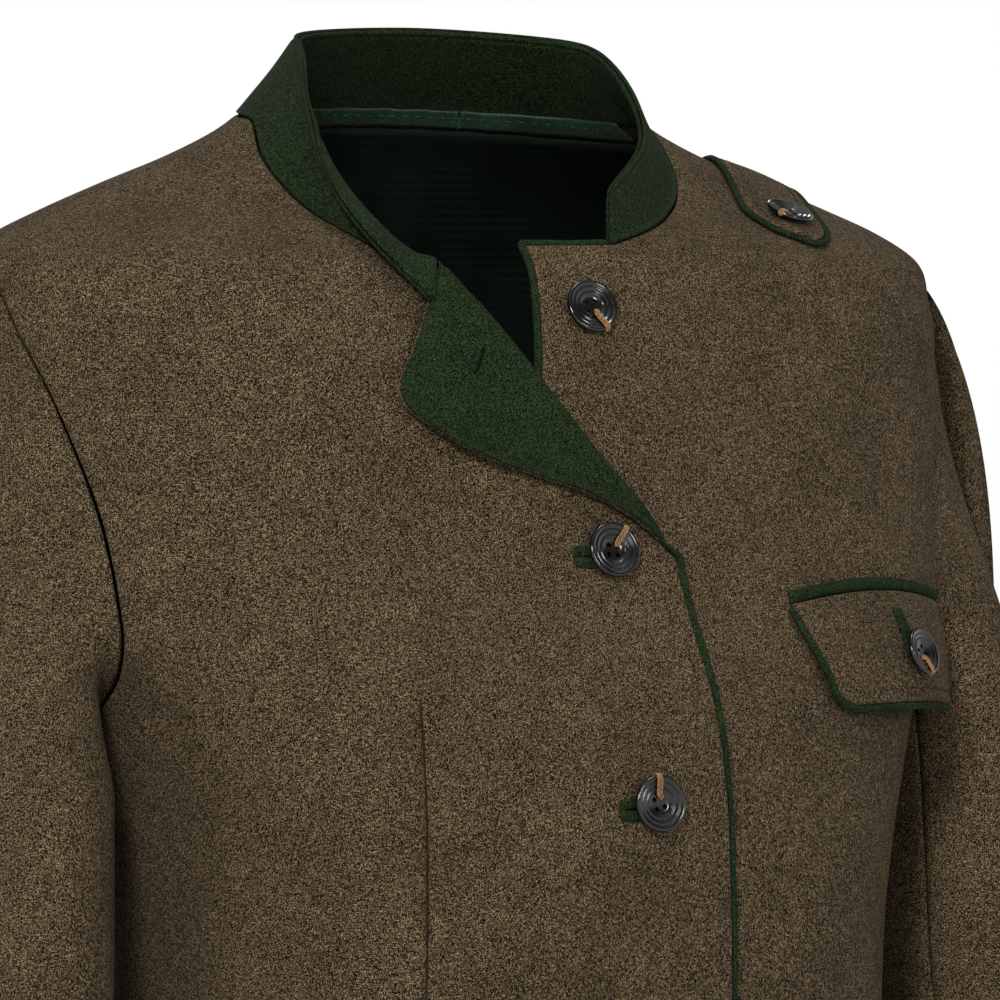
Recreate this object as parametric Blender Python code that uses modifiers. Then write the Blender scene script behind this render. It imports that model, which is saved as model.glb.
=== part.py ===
"""Loden jacket with a green stand collar, one front corner turned back as a lapel.

Worn form with no wearer: +Z up, the front faces -Y, the wearer's right side is -X.
The origin is the middle of the neck at the height of the shoulder seams' inner ends.
Every length below is in millimetres; MM turns it into Blender's metres.
"""
import math

import bmesh
import bpy
import numpy as np
from mathutils import Matrix, Vector

MM = 0.001
SEAM_GAP = 0.3
CLOTH = 2.2
FELT = 1.6
LINING = 1.0

# Torso rings: half width, depth before and behind the ring's centre, roundness exponent.
# Rows of z, half width, front, back, exponent.
RINGS = (
    (15, 78, 16, 58, 2.1),
    (6, 86, 27, 66, 2.0),
    (-8, 113, 40, 77, 2.0),
    (-18, 140, 50, 82, 2.0),
    (-28, 166, 63, 86, 2.0),
    (-37, 187, 82, 89, 2.0),
    (-46, 200, 92, 92, 2.2),
    (-65, 204, 102, 97, 2.4),
    (-100, 203, 112, 104, 2.4),
    (-137, 202, 118, 109, 2.45),
    (-173, 196, 129, 112, 2.6),
    (-210, 177, 146, 112, 2.7),
    (-250, 162, 155, 110, 2.75),
    (-292, 153, 158, 107, 2.8),
    (-335, 151, 158, 104, 2.8),
    (-400, 152, 159, 101, 2.7),
    (-480, 161, 157, 108, 2.6),
    (-585, 175, 156, 117, 2.5),
)
RING_CENTRE_Y = 8
HEM_Z = -585

# Openings and seams.
NECK_POINT_Z = 6
SHOULDER_POINT_Z = -43
UNDERARM_Z = -228
BACK_NECK_Z = 12.5
ARMHOLE_FRONT = math.radians(22.5)
ARMHOLE_BACK = math.radians(21)

# Fronts: how far each front runs past the centre line, which drifts sideways below the chest.
RIGHT_OVERLAP = 25
LEFT_OVERLAP = 21
LEFT_CORNER_CUT = 6.5
FRONT_TOP_Z = -42
BREAK_Z = -160
CENTRE_DRIFT = 6
FRONT_LIFT = 3.8
# Rows of x, z.
LEFT_NECK = ((23.5, -42), (43, -37), (61, -31), (74, -24), (83, -12), (86, 6))
RIGHT_NECK = ((-58, -53), (-72, -46), (-84, -36), (-91, -24), (-93, -10), (-86, 6))

# Lapel: the outline of the turned-back corner, from its top edge to the break.
ROLL_RADIUS = 1.0
FACING_TOP = 0.2
LAPEL_CORNER = (-83, -99)
LAPEL_SWAY = 4
ROLL_BOW = -3

# Collar: height against the distance from each end, and how far it leans in, in radians.
# Rows of distance, height.
COLLAR_LEFT_HEIGHT = ((0, 21), (8, 25), (30, 29), (70, 33), (115, 36), (155, 38), (195, 39.5), (400, 39.5))
COLLAR_RIGHT_HEIGHT = ((0, 22), (8, 24), (30, 29), (70, 33), (115, 36), (155, 38), (195, 39.5), (400, 39.5))
# Rows of distance, lean.
COLLAR_LEAN = ((0, 0), (30, 0.17), (75, 0.36), (115, 0.55), (150, 0.66), (400, 0.66))
COLLAR_BASE_BEND = 5
COLLAR_ROLL_REACH = 85
COLLAR_RIGHT_FALL = 18
COLLAR_ROLL_ONSET = 0.6
COLLAR_ROLL_LENGTH = 9
COLLAR_GAP = 0.4
COLLAR_SHORT = 0.5

# Sleeve rings: centre and half sizes across and front to back.
# Rows of z, x, y, half across, half deep.
SLEEVE_RINGS = (
    (-246, 202.5, -14, 36, 65),
    (-330, 206, -22, 37, 61),
    (-410, 213, -33, 36, 55),
    (-500, 219, -52, 34, 49),
    (-600, 222, -80, 32, 45),
)
SLEEVE_GAP = 0.7
SLEEVE_FRONT_SEAM = math.radians(140)
SLEEVE_BACK_SEAM = math.radians(250)

CAP_STRAIGHT = 0.3
CAP_BULGE = 0.3
CAP_EASE = 0.12

# Grid sizes of the panels.
PANEL_COLUMNS = 10
SIDE_ROWS = 10
NECK_ROWS = 10
NECK_GAP = 0.8
ROLL_ROWS = 9

# Trims.
LAID_GAP = 0.5
PIPING_RADIUS = 1.1
PIPING_GAP = 0.45
PIPING_END = 0.7
TAPE = 0.6
TAPE_DROP = 0.3
TAPE_WIDTH = 5
TAPE_JOIN = -34
TAPE_GAP = 0.9
LINING_LENGTH = 190
LINING_TURN = 60
LINING_FLARE = 0.4
FLARE_SHARE = 0.26
LINING_GAP = 1.5

# Chest pocket: (x, z) of the flap's corners, its arched top and how far its foot swings out.
FLAP_TOP = ((77, -177.5), (174, -180.5))
FLAP_FOOT = ((88, -215.5), (168, -215.5))
FLAP_ARCH = 5.5
FLAP_CORNER = 11
FLAP_SWING_FRONT = 2
FLAP_SWING_SIDE = 12
FLAP_WIDTH = 106
FLAP_DEPTH = 42
FLAP_SHARES = np.array([0, 0.03, 0.08, 0.15, 0.28, 0.42, 0.57, 0.72, 0.85, 0.92, 0.97, 1])
WELT = 4.8

# Epaulette: plan positions of its ends on the shoulder.
TAB_ROOT = (141, 34)
TAB_TIP = (114.6, -61.3)
TAB_HALF_WIDTH = 15
TAB_SQUARE = 0.83
TAB_ROWS = (0, 0.1, 0.2, 0.3, 0.4, 0.5, 0.6, 0.7, 0.8, 0.87, 0.93, 0.97, 1)
TAB_BUTTON = 0.87

# Buttons and buttonholes.
BUTTON_DIAMETER = 21
SMALL_BUTTON_DIAMETER = 18.5
BUTTON_STEPS = 24
# Rows of share of radius, height.
BUTTON_PROFILE = (
    (0, 1.5), (0.5, 1.6), (0.6, 2.0), (0.74, 2.9), (0.86, 3.2), (0.95, 2.9), (1, 2.2),
    (0.92, 0.6), (0.6, 0), (0, 0),
)
HOLE_SPREAD = 0.24
HOLE_RADIUS = 0.95
FIRST_BUTTON_Z = -66
BUTTON_PITCH = 91
BUTTON_X = (4.2, -1.8, -0.6, -0.6, -0.6)
SLIT = 0.6
SLIT_LENGTH = 24
SLIT_HEIGHT = 8.4
SLIT_BACK = 3.5
SLIT_DROP = 1.8
LIP = 1.0
FLAP_BUTTON = (0.55, 0.6)
FLAP_SLIT = (0.53, 0.43)
LAPEL_SLIT = ((-49, -82), (-53.5, -91))
LAPEL_SLIT_LIFT_FROM = (15, 10)


def smooth_column(table, column, x):
    """Cubic interpolation of one table column over the first, with matching slopes."""
    rows = np.array(sorted(table), dtype=float)
    knots, values = rows[:, 0], rows[:, column]
    slopes = np.gradient(values, knots)
    x = np.clip(x, knots[0], knots[-1])
    i = np.clip(np.searchsorted(knots, x) - 1, 0, len(knots) - 2)
    step = knots[i + 1] - knots[i]
    t = (x - knots[i]) / step
    return (
        values[i] * (2 * t**3 - 3 * t**2 + 1)
        + slopes[i] * step * (t**3 - 2 * t**2 + t)
        + values[i + 1] * (3 * t**2 - 2 * t**3)
        + slopes[i + 1] * step * (t**3 - t**2)
    )


def smooth_step(x):
    t = np.clip(x, 0, 1)
    return t * t * (3 - 2 * t)


def unit(vectors):
    return vectors / np.linalg.norm(vectors, axis=-1, keepdims=True)


def torso(place):
    """Point of the torso at (angle, z); angle 0 is the front, positive to the wearer's left."""
    angle, z = place[..., 0], place[..., 1]
    width = smooth_column(RINGS, 1, z)
    front = smooth_column(RINGS, 2, z)
    back = smooth_column(RINGS, 3, z)
    power = smooth_column(RINGS, 4, z)
    across, along = np.sin(angle), np.cos(angle)
    depth = np.where(along > 0, front, back)
    reach = (np.abs(across / width) ** power + np.abs(along / depth) ** power) ** (-1 / power)
    return np.stack([reach * across, RING_CENTRE_Y - reach * along, z], axis=-1)


def torso_normal(place):
    turn = np.array([1e-3, 0])
    rise = np.array([0, 0.5])
    around = torso(place + turn) - torso(place - turn)
    upward = torso(place + rise) - torso(place - rise)
    return unit(np.cross(around, upward))


def front_place(x, z):
    """The (angle, z) of the front point at the given x and z."""
    x, z = np.broadcast_arrays(np.asarray(x, float), np.asarray(z, float))
    width = smooth_column(RINGS, 1, z)
    front = smooth_column(RINGS, 2, z)
    power = smooth_column(RINGS, 4, z)
    share = np.clip(1 - np.abs(x / width) ** power, 0, 1)
    return np.stack([np.arctan2(x, front * share ** (1 / power)), z], axis=-1)


def resample(points, count):
    """Points evenly spaced along a polyline of (angle, z) places, by length on the torso."""
    points = np.asarray(points, float)
    solid = torso(points)
    length = np.concatenate([[0], np.cumsum(np.linalg.norm(np.diff(solid, axis=0), axis=1))])
    at = np.linspace(0, length[-1], count)
    return np.stack([np.interp(at, length, points[:, k]) for k in range(2)], axis=-1)


def joined(*stretches):
    """Stretches of a boundary in one list, without the repeated corner places."""
    parts = [stretches[0]] + [stretch[1:] for stretch in stretches[1:]]
    return np.concatenate(parts)


def armhole(side, front, count):
    """Armhole from the underarm up to the shoulder point, on the front or the back."""
    t = np.linspace(1, 0, 60)
    z = SHOULDER_POINT_Z + (UNDERARM_Z - SHOULDER_POINT_Z) * t
    if front:
        turn = math.pi * t**2.4
        angle = math.pi / 2 - ARMHOLE_FRONT * np.sin(turn) ** np.where(turn < math.pi / 2, 0.28, 0.62)
    else:
        angle = math.pi / 2 + ARMHOLE_BACK * np.sin(math.pi * t**1.5) ** 0.6
    return resample(np.stack([side * angle, z], axis=-1), count)


def side_seam(side, count):
    z = np.linspace(HEM_Z, UNDERARM_Z, count)
    return np.stack([np.full(count, side * math.pi / 2), z], axis=-1)


def inset_angle(places, distance):
    """Places turned by a distance in millimetres around the torso."""
    reach = np.linalg.norm(torso(places)[..., :2] - [0, RING_CENTRE_Y], axis=-1)
    moved = places.copy()
    moved[..., 0] += distance / reach
    return moved


def neckline(table, count):
    rows = np.array(table, float)
    t = np.linspace(0, len(rows) - 1, 80)
    slopes = np.gradient(rows, axis=0)
    k = np.clip(t.astype(int), 0, len(rows) - 2)
    f = (t - k)[:, None]
    points = (
        rows[k] * (2 * f**3 - 3 * f**2 + 1)
        + slopes[k] * (f**3 - 2 * f**2 + f)
        + rows[k + 1] * (3 * f**2 - 2 * f**3)
        + slopes[k + 1] * (f**3 - f**2)
    )
    return resample(front_place(points[:, 0], points[:, 1]), count)


def centre_x(z):
    return CENTRE_DRIFT * smooth_step((-100 - z) / 150)


def front_edge(overlap, low, high, count):
    """A front's vertical edge from z low up to z high, an overlap past the centre line."""
    z = np.linspace(low, high, count)
    return front_place(centre_x(z) + overlap, z)


def left_edge(count):
    """The left front's edge, cut back a little towards its top corner."""
    z = np.linspace(HEM_Z, FRONT_TOP_Z, count)
    cut = LEFT_CORNER_CUT * smooth_step((z + 110) / (FRONT_TOP_Z + 110))
    return front_place(centre_x(z) - LEFT_OVERLAP + cut, z)


def top_edge(count):
    """The left front's short top edge, from its corner to the collar's end."""
    x = np.linspace(LEFT_CORNER_CUT - LEFT_OVERLAP, LEFT_NECK[0][0], count)
    return front_place(x, np.full(count, FRONT_TOP_Z))


def back_neckline(side, count):
    """From the centre back round to the shoulder's inner end."""
    turn = np.linspace(math.pi / 2, 0, count)
    z = NECK_POINT_Z + (BACK_NECK_Z - NECK_POINT_Z) * np.sin(turn)
    return np.stack([side * (math.pi / 2 + turn), z], axis=-1)


def between(left, right, columns):
    t = np.linspace(0, 1, columns + 1)[None, :, None]
    return left[:, None, :] * (1 - t) + right[:, None, :] * t


def right_front_lift(places):
    """How far the right front stands off the torso where it laps over the left one."""
    points = torso(places)
    x = points[..., 0] - centre_x(points[..., 2])
    near_front = np.where(np.cos(places[..., 0]) > 0, 1.0, 0.0)
    return FRONT_LIFT * smooth_step((x + 62) / 30) * near_front


def wall(places, lift, thickness):
    """Outer and inner points of cloth laid on the torso, lifted off it."""
    normal = torso_normal(places)
    lift = lift[..., None] if np.ndim(lift) else lift
    outer = torso(places) + normal * lift
    return outer, outer - normal * thickness


def material(name, colour, roughness):
    """The named material, made once, with a plain Principled colour."""
    found = bpy.data.materials.get(name)
    if found:
        return found
    made = bpy.data.materials.new(name)
    made.use_nodes = True
    shader = made.node_tree.nodes["Principled BSDF"]
    shader.inputs["Base Color"].default_value = (*colour, 1)
    shader.inputs["Roughness"].default_value = roughness
    shader.inputs["Metallic"].default_value = 0
    return made


def loden():
    return material("loden", (0.08, 0.055, 0.03), 0.95)


def green_felt():
    return material("green_felt", (0.017, 0.065, 0.018), 0.95)


def satin_tape():
    return material("satin_tape", (0.02, 0.09, 0.035), 0.5)


def dark_lining():
    return material("dark_lining", (0.004, 0.012, 0.006), 0.6)


def horn():
    return material("horn", (0.015, 0.011, 0.009), 0.25)


def finish_mesh(name, mesh, surface, collection):
    """A closed mesh with its faces turned out, smooth but for its edges, in the collection."""
    body = bmesh.new()
    body.from_mesh(mesh)
    bmesh.ops.recalc_face_normals(body, faces=body.faces)
    body.to_mesh(mesh)
    body.free()
    mesh.shade_smooth()
    mesh.set_sharp_from_angle(angle=math.radians(50))
    mesh.materials.append(surface)
    made = bpy.data.objects.new(name, mesh)
    collection.objects.link(made)
    return made


def cloth(name, patches, surface, collection):
    """One closed body from patches of (outer, inner) point grids that share edge points."""
    keys, outer, inner, quads = {}, [], [], []
    for patch_outer, patch_inner in patches:
        rows, columns = patch_outer.shape[:2]
        index = np.empty((rows, columns), int)
        for r in range(rows):
            for c in range(columns):
                key = tuple(np.round(patch_outer[r, c], 3))
                if key not in keys:
                    keys[key] = len(outer)
                    outer.append(patch_outer[r, c])
                    inner.append(patch_inner[r, c])
                index[r, c] = keys[key]
        for r in range(rows - 1):
            for c in range(columns - 1):
                corners = (index[r, c], index[r, c + 1], index[r + 1, c + 1], index[r + 1, c])
                quads.append(tuple(dict.fromkeys(corners)))
    quads = [quad for quad in quads if len(quad) > 2]
    edges = {frozenset(edge): 0 for quad in quads for edge in zip(quad, quad[1:] + quad[:1])}
    for quad in quads:
        for edge in zip(quad, quad[1:] + quad[:1]):
            edges[frozenset(edge)] += 1
    rim = [tuple(edge) for edge, uses in edges.items() if uses == 1]
    count = len(outer)
    faces = quads + [tuple(v + count for v in quad) for quad in quads]
    faces += [(a, b, b + count, a + count) for a, b in rim]
    mesh = bpy.data.meshes.new(name)
    mesh.from_pydata(np.array(outer + inner) * MM, [], faces)
    return finish_mesh(name, mesh, surface, collection)


def panel_places(left, right, columns, left_turn, right_turn):
    """A panel's grid of places, with its seams pulled in by half a seam gap."""
    places = between(left, right, columns)
    places[:, -1] = inset_angle(places[:, -1], right_turn * SEAM_GAP / 2)
    places[-1] = inset_angle(places[-1], right_turn * SEAM_GAP / 2)
    if left_turn:
        places[:, 0] = inset_angle(places[:, 0], left_turn * SEAM_GAP / 2)
    return places


def side_and_armhole(side, front, count):
    return joined(side_seam(side, SIDE_ROWS), armhole(side, front, count - SIDE_ROWS + 1))


def front_left(collection):
    left = joined(
        left_edge(16),
        top_edge(4),
        neckline(LEFT_NECK, NECK_ROWS),
    )
    right = side_and_armhole(1, True, len(left))
    places = panel_places(left, right, PANEL_COLUMNS, 0, -1)
    return cloth("front_left", [wall(places, 0, CLOTH)], loden(), collection)


def front_right(collection):
    """The right front with its corner turned back along the roll line."""
    roll = roll_line(ROLL_ROWS)[::-1]
    left = joined(
        front_edge(RIGHT_OVERLAP, HEM_Z, BREAK_Z, 11),
        front_place(roll[:, 0], roll[:, 1]),
        neckline(RIGHT_NECK, NECK_ROWS),
    )
    right = side_and_armhole(-1, True, len(left))
    places = panel_places(left, right, PANEL_COLUMNS, 0, 1)
    panel = wall(places, right_front_lift(places), CLOTH)
    turned = lapel_patch(ROLL_RADIUS, CLOTH, (0, 0.25, 0.5, 0.75, 1), 0)
    return cloth("front_right", [panel, turned], loden(), collection)


def back(side, name, collection):
    centre = np.stack([np.full(19, side * math.pi), np.linspace(HEM_Z, BACK_NECK_Z, 19)], axis=-1)
    left = joined(centre, back_neckline(side, NECK_ROWS))
    right = side_and_armhole(side, False, len(left))
    places = panel_places(left, right, PANEL_COLUMNS, -side, side)
    return cloth(name, [wall(places, 0, CLOTH)], loden(), collection)


def roll_line(count):
    """The lapel's roll line in (x, z) from the neck end down to the break, gently bowed."""
    start = np.array(RIGHT_NECK[0], float)
    end = np.array([centre_x(BREAK_Z) + RIGHT_OVERLAP, BREAK_Z])
    t = np.linspace(0, 1, count)[:, None]
    along = (end - start) / np.linalg.norm(end - start)
    outward = np.array([-along[1], along[0]])
    return start * (1 - t) + end * t + ROLL_BOW * np.sin(math.pi * t) * outward


def lapel_outline(count):
    """Outer ends of the lapel's cross lines in (x, z), from its corner to the break."""
    corner = np.array(LAPEL_CORNER, float)
    end = np.array([centre_x(BREAK_Z) + RIGHT_OVERLAP, BREAK_Z])
    t = np.linspace(0, 1, count)[:, None]
    along = (end - corner) / np.linalg.norm(end - corner)
    outward = np.array([along[1], -along[0]])
    sway = LAPEL_SWAY * np.sin(2 * math.pi * t) * outward
    return corner * (1 - t) + end * t + sway


def over_lapel(distance, share, height, top):
    """Points over the lapel's cross lines: a distance past the roll, or a share of the way.

    The share top of a row keeps the first cross line clear of the collar's end.
    """
    roll, outline = roll_line(ROLL_ROWS), lapel_outline(ROLL_ROWS)
    roll[0] += (roll[1] - roll[0]) * top
    across = unit(outline - roll + (outline[0] - roll[0]) * 1e-6)
    at = roll + (outline - roll) * share - across * distance
    places = front_place(at[:, 0], at[:, 1])
    lift = right_front_lift(front_place(roll[:, 0], roll[:, 1]))
    return torso(places) + torso_normal(places) * (lift + height)[:, None]


def lapel_patch(radius, thickness, turns, top):
    """Outer and inner points over the roll and out to the lapel's edge."""
    outer, inner = [], []
    for turn in turns:
        angle = math.pi * turn
        for points, reach in ((outer, radius), (inner, radius + thickness)):
            height = ROLL_RADIUS - reach * math.cos(angle)
            points.append(over_lapel(reach * math.sin(angle), 0, height, top))
    for share in (0.3, 0.65, 1):
        for points, reach in ((outer, radius), (inner, radius + thickness)):
            points.append(over_lapel(0, share, ROLL_RADIUS + reach, top))
    return np.stack(outer, axis=1), np.stack(inner, axis=1)


def lapel_facing(collection):
    """The green facing: a tail inside the front, round the roll and over the turned corner."""
    radius = ROLL_RADIUS + CLOTH + SEAM_GAP
    outer, inner = lapel_patch(radius, FELT, (0.2, 0.4, 0.6, 0.8, 1), FACING_TOP)
    return cloth("lapel_facing", [(outer, inner)], green_felt(), collection)


def armhole_loop(side, w):
    """Places round the armhole; w is 0 at the shoulder, pi at the underarm, front first."""
    front = armhole(side, True, 61)[::-1]
    behind = armhole(side, False, 61)
    loop = joined(front, behind)
    loop[:, 0] = np.unwrap(loop[:, 0])
    at = np.mod(w, 2 * math.pi) / (2 * math.pi) * (len(loop) - 1)
    return np.stack([np.interp(at, np.arange(len(loop)), loop[:, k]) for k in range(2)], axis=-1)


def sleeve_ring(side, z, w):
    x, y, across, deep = (smooth_column(SLEEVE_RINGS, k, z) for k in (1, 2, 3, 4))
    ring_x = side * (x + across * np.cos(w))
    return np.stack([ring_x, y - deep * np.sin(w), z + 0 * w], axis=-1)


def sleeve_start(side, w):
    """The armhole seam: points, outward cap direction and cloth normal."""
    place = armhole_loop(side, w)
    ahead, behind = armhole_loop(side, w + 0.05), armhole_loop(side, w - 0.05)
    normal = torso_normal(place)
    run = unit(torso(ahead) - torso(behind))
    outward = unit(np.cross(normal, run)) * side
    return torso(place), outward, normal


def sleeve(side, v, w):
    """Sleeve surface: v from 0 at the armhole to 1 at the biceps and 2 at the cuff."""
    v, w = np.broadcast_arrays(np.asarray(v, float), np.asarray(w, float))
    start, outward, normal = sleeve_start(side, w)
    start = start + outward * SLEEVE_GAP * (1 + 1.5 * np.sin(w / 2)[..., None] ** 2)
    top, low = SLEEVE_RINGS[0][0], SLEEVE_RINGS[-1][0]
    end = sleeve_ring(side, np.full(w.shape, float(top)), w)
    down = unit(sleeve_ring(side, np.full(w.shape, top - 5.0), w) - end)
    length = np.linalg.norm(end - start, axis=-1, keepdims=True)
    direct = CAP_STRAIGHT * np.abs(np.sin(w / 2))[..., None]
    lead = unit(outward * (1 - direct) + unit(end - start) * direct + CAP_BULGE * normal * direct)
    lead = lead * length * (1 - CAP_EASE * np.cos(w / 2)[..., None] ** 2)
    t = np.clip(v, 0, 1)[..., None]
    cap = (
        start * (2 * t**3 - 3 * t**2 + 1)
        + lead * (t**3 - 2 * t**2 + t)
        + end * (3 * t**2 - 2 * t**3)
        + down * length * (t**3 - t**2)
    )
    z = top + (low - top) * np.clip(v - 1, 0, 1)
    return np.where((v > 1)[..., None], sleeve_ring(side, z, w), cap)


def sleeve_wall(side, v, w):
    along = sleeve(side, np.minimum(v + 0.01, 2), w) - sleeve(side, np.maximum(v - 0.01, 0), w)
    around = sleeve(side, v, w + 0.02) - sleeve(side, v, w - 0.02)
    normal = unit(np.cross(around, along)) * side
    normal = np.where((v == 0)[..., None], sleeve_start(side, w)[2], normal)
    outer = sleeve(side, v, w)
    return outer, outer - normal * CLOTH


def sleeve_piece(side, name, first, last, columns, collection):
    v = np.concatenate([np.linspace(0, 1, 6), np.linspace(1, 2, 7)[1:]])[:, None]
    trim = SEAM_GAP / 2 / 36
    w = np.linspace(first + trim, last - trim, columns + 1)[None, :]
    v, w = np.broadcast_arrays(v, w)
    return cloth(name, [sleeve_wall(side, v, w)], loden(), collection)


def sleeves(collection):
    for side, word in ((-1, "right"), (1, "left")):
        upper_start = SLEEVE_BACK_SEAM - 2 * math.pi
        sleeve_piece(side, f"sleeve_{word}_upper", upper_start, SLEEVE_FRONT_SEAM, 14, collection)
        sleeve_piece(side, f"sleeve_{word}_under", SLEEVE_FRONT_SEAM, SLEEVE_BACK_SEAM, 6, collection)


def neck_ring():
    """Places of the neckline from the left front end round the back to the right front end."""
    around = [
        neckline(LEFT_NECK, NECK_ROWS),
        back_neckline(1, NECK_ROWS)[::-1],
        back_neckline(-1, NECK_ROWS),
        neckline(RIGHT_NECK, NECK_ROWS)[::-1],
    ]
    for stretch in around[2:]:
        stretch[:, 0] += 2 * math.pi
    around[3][-1] += (around[3][-2] - around[3][-1]) * COLLAR_SHORT
    return joined(*around)


def collar_sections():
    """Mid-line points and normals of the collar, a section for each place on the neckline."""
    places = neck_ring()
    base, skin = torso(places), torso_normal(places)
    run = unit(np.gradient(base, axis=0))
    flat = unit(run * [1, 1, 0])
    outward = np.stack([-flat[:, 1], flat[:, 0], 0 * flat[:, 0]], axis=-1)
    outward *= -np.sign(np.sum(outward * ([0, RING_CENTRE_Y, 0] - base), axis=-1, keepdims=True))
    rise = np.cross(skin, run)
    rise *= -np.sign(np.sum(rise * outward, axis=-1, keepdims=True))
    length = np.concatenate([[0], np.cumsum(np.linalg.norm(np.diff(base, axis=0), axis=1))])
    from_right = length[-1] - length
    height = np.minimum(
        smooth_column(COLLAR_LEFT_HEIGHT, 1, length), smooth_column(COLLAR_RIGHT_HEIGHT, 1, from_right)
    )
    lean = -smooth_column(COLLAR_LEAN, 1, np.minimum(length, from_right))
    fall = COLLAR_RIGHT_FALL * smooth_step(1 - from_right / COLLAR_ROLL_REACH)
    fold = smooth_step((1 - from_right / COLLAR_ROLL_REACH) / COLLAR_ROLL_ONSET)
    start = np.arctan2(np.sum(rise * outward, axis=-1), rise[:, 2])
    steps = 24
    share = (np.arange(steps) + 0.5) / steps
    path = height[:, None] * share
    stand = start[:, None] + (lean - start)[:, None] * smooth_step(path / COLLAR_BASE_BEND)
    target = (start + math.pi - 0.1)[:, None]
    rolled = smooth_step((path - (height - fall)[:, None]) / COLLAR_ROLL_LENGTH + 0.5) * fold[:, None]
    angle = stand + (target - stand) * rolled
    step = height[:, None] / steps
    moves = (
        np.sin(angle)[..., None] * outward[:, None] + np.cos(angle)[..., None] * [0, 0, 1]
    ) * step[..., None]
    mid = base - skin * CLOTH / 2 + rise * NECK_GAP
    points = np.concatenate([mid[:, None], mid[:, None] + np.cumsum(moves, axis=1)], axis=1)
    along = np.gradient(points, axis=1)
    across = np.broadcast_to(run[:, None], along.shape)
    normal = unit(np.cross(along, across))
    normal *= np.sign(np.sum(normal[:, :1] * skin[:, None], axis=-1, keepdims=True))
    keep = list(range(0, steps + 1, 4))
    return points[:, keep], normal[:, keep]


def collar(collection):
    points, normal = collar_sections()
    near, far = COLLAR_GAP / 2, COLLAR_GAP / 2 + FELT
    outside = (points + normal * far, points + normal * near)
    inside = (points - normal * near, points - normal * far)
    cloth("collar_outer", [outside], green_felt(), collection)
    cloth("collar_inner", [inside], green_felt(), collection)


def tube(name, points, radius, surface, collection):
    """A round piping along a line of points, as a bevelled curve with closed ends."""
    curve = bpy.data.curves.new(name, "CURVE")
    curve.dimensions = "3D"
    curve.bevel_depth = radius * MM
    curve.bevel_resolution = 1
    curve.use_fill_caps = True
    spline = curve.splines.new("POLY")
    spline.points.add(len(points) - 1)
    for at, point in zip(spline.points, points):
        at.co = (*(np.array(point) * MM), 1)
    curve.materials.append(surface)
    made = bpy.data.objects.new(name, curve)
    collection.objects.link(made)
    return made


def beside(points, normals, beyond):
    """A line of points moved sideways in the cloth past an edge, mitred at its corners."""
    runs = unit(np.diff(points, axis=0))
    before = np.cross(normals, np.concatenate([runs[:1], runs]))
    after = np.cross(normals, np.concatenate([runs, runs[-1:]]))
    mitre = unit(before) + unit(after)
    return points + mitre * 2 * beyond / np.sum(mitre**2, axis=-1, keepdims=True)


def edge_piping(name, points, normals, beyond, collection):
    """Piping beside an edge of cloth, stopping short of both ends."""
    line = beside(points, normals, beyond)
    line[0] += unit(line[1] - line[0]) * PIPING_END
    line[-1] += unit(line[-2] - line[-1]) * PIPING_END
    return tube(name, line, PIPING_RADIUS, green_felt(), collection)


def front_pipings(collection):
    beyond = PIPING_RADIUS + PIPING_GAP
    right = front_edge(RIGHT_OVERLAP, HEM_Z, BREAK_Z, 24)
    normal = torso_normal(right)
    middle = torso(right) + normal * (right_front_lift(right) - CLOTH / 2)[:, None]
    edge_piping("front_right_piping", middle, normal, -beyond, collection)
    left = joined(left_edge(26), top_edge(4))
    normal = torso_normal(left)
    middle = torso(left) - normal * CLOTH / 2
    edge_piping("front_left_piping", middle, normal, beyond, collection)


def flap_outline(share, depth):
    """The flap's (x, z) places: share 0 at its front end, depth 0 at the welt, 1 at the foot."""
    top = np.array(FLAP_TOP[0]) * (1 - share) + np.array(FLAP_TOP[1]) * share
    top = top + FLAP_ARCH * np.sin(math.pi * share) * [0, 1]
    foot = np.array(FLAP_FOOT[0]) * (1 - share) + np.array(FLAP_FOOT[1]) * share
    from_end = np.minimum(share, 1 - share) * (FLAP_FOOT[1][0] - FLAP_FOOT[0][0])
    into = np.clip(1 - from_end / FLAP_CORNER, 0, 1)
    foot = foot + FLAP_CORNER * (1 - np.sqrt(1 - into**2)) * [0, 1]
    return top * (1 - depth) + foot * depth


def flap_surface(share, depth):
    """Outer points and normals of the flap, which swings away from the chest at its foot."""
    x, z = np.moveaxis(flap_outline(share, depth), -1, 0)
    places = front_place(x, z)
    swing = FLAP_SWING_FRONT + FLAP_SWING_SIDE * share**1.5
    stand = LAID_GAP + CLOTH + swing * depth**1.2
    return torso(places) + torso_normal(places) * stand


def flap_normal(share, depth):
    around = flap_surface(share + 0.02, depth) - flap_surface(share - 0.02, depth)
    down = flap_surface(share, depth + 0.03) - flap_surface(share, depth - 0.03)
    return unit(np.cross(down, around))


def pocket(collection):
    """The wearer's left chest pocket: green welt, flap, its piping and its buttonhole."""
    share = np.linspace(0, 1, 13)[None, :, None]
    welt = flap_outline(share, 0.0) + [0, SEAM_GAP] + [0, WELT] * np.array([[[0]], [[1]]])
    places = front_place(welt[..., 0], welt[..., 1])
    cloth("pocket_welt", [wall(places, LAID_GAP + FELT, FELT)], green_felt(), collection)
    share = FLAP_SHARES[None, :, None]
    depth = np.linspace(0, 1, 6)[:, None, None]
    outer = flap_surface(share, depth)
    normal = flap_normal(np.clip(share, 0.03, 0.97), np.clip(depth, 0.05, 0.95))
    cloth("pocket_flap", [(outer, outer - normal * CLOTH)], loden(), collection)
    rim = joined(outer[:, 0], outer[-1], outer[::-1, -1])
    rim_normal = joined(normal[:, 0], normal[-1], normal[::-1, -1])
    middle = rim - rim_normal * CLOTH / 2
    edge_piping("flap_piping", middle, rim_normal, -PIPING_RADIUS - PIPING_GAP, collection)


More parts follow.
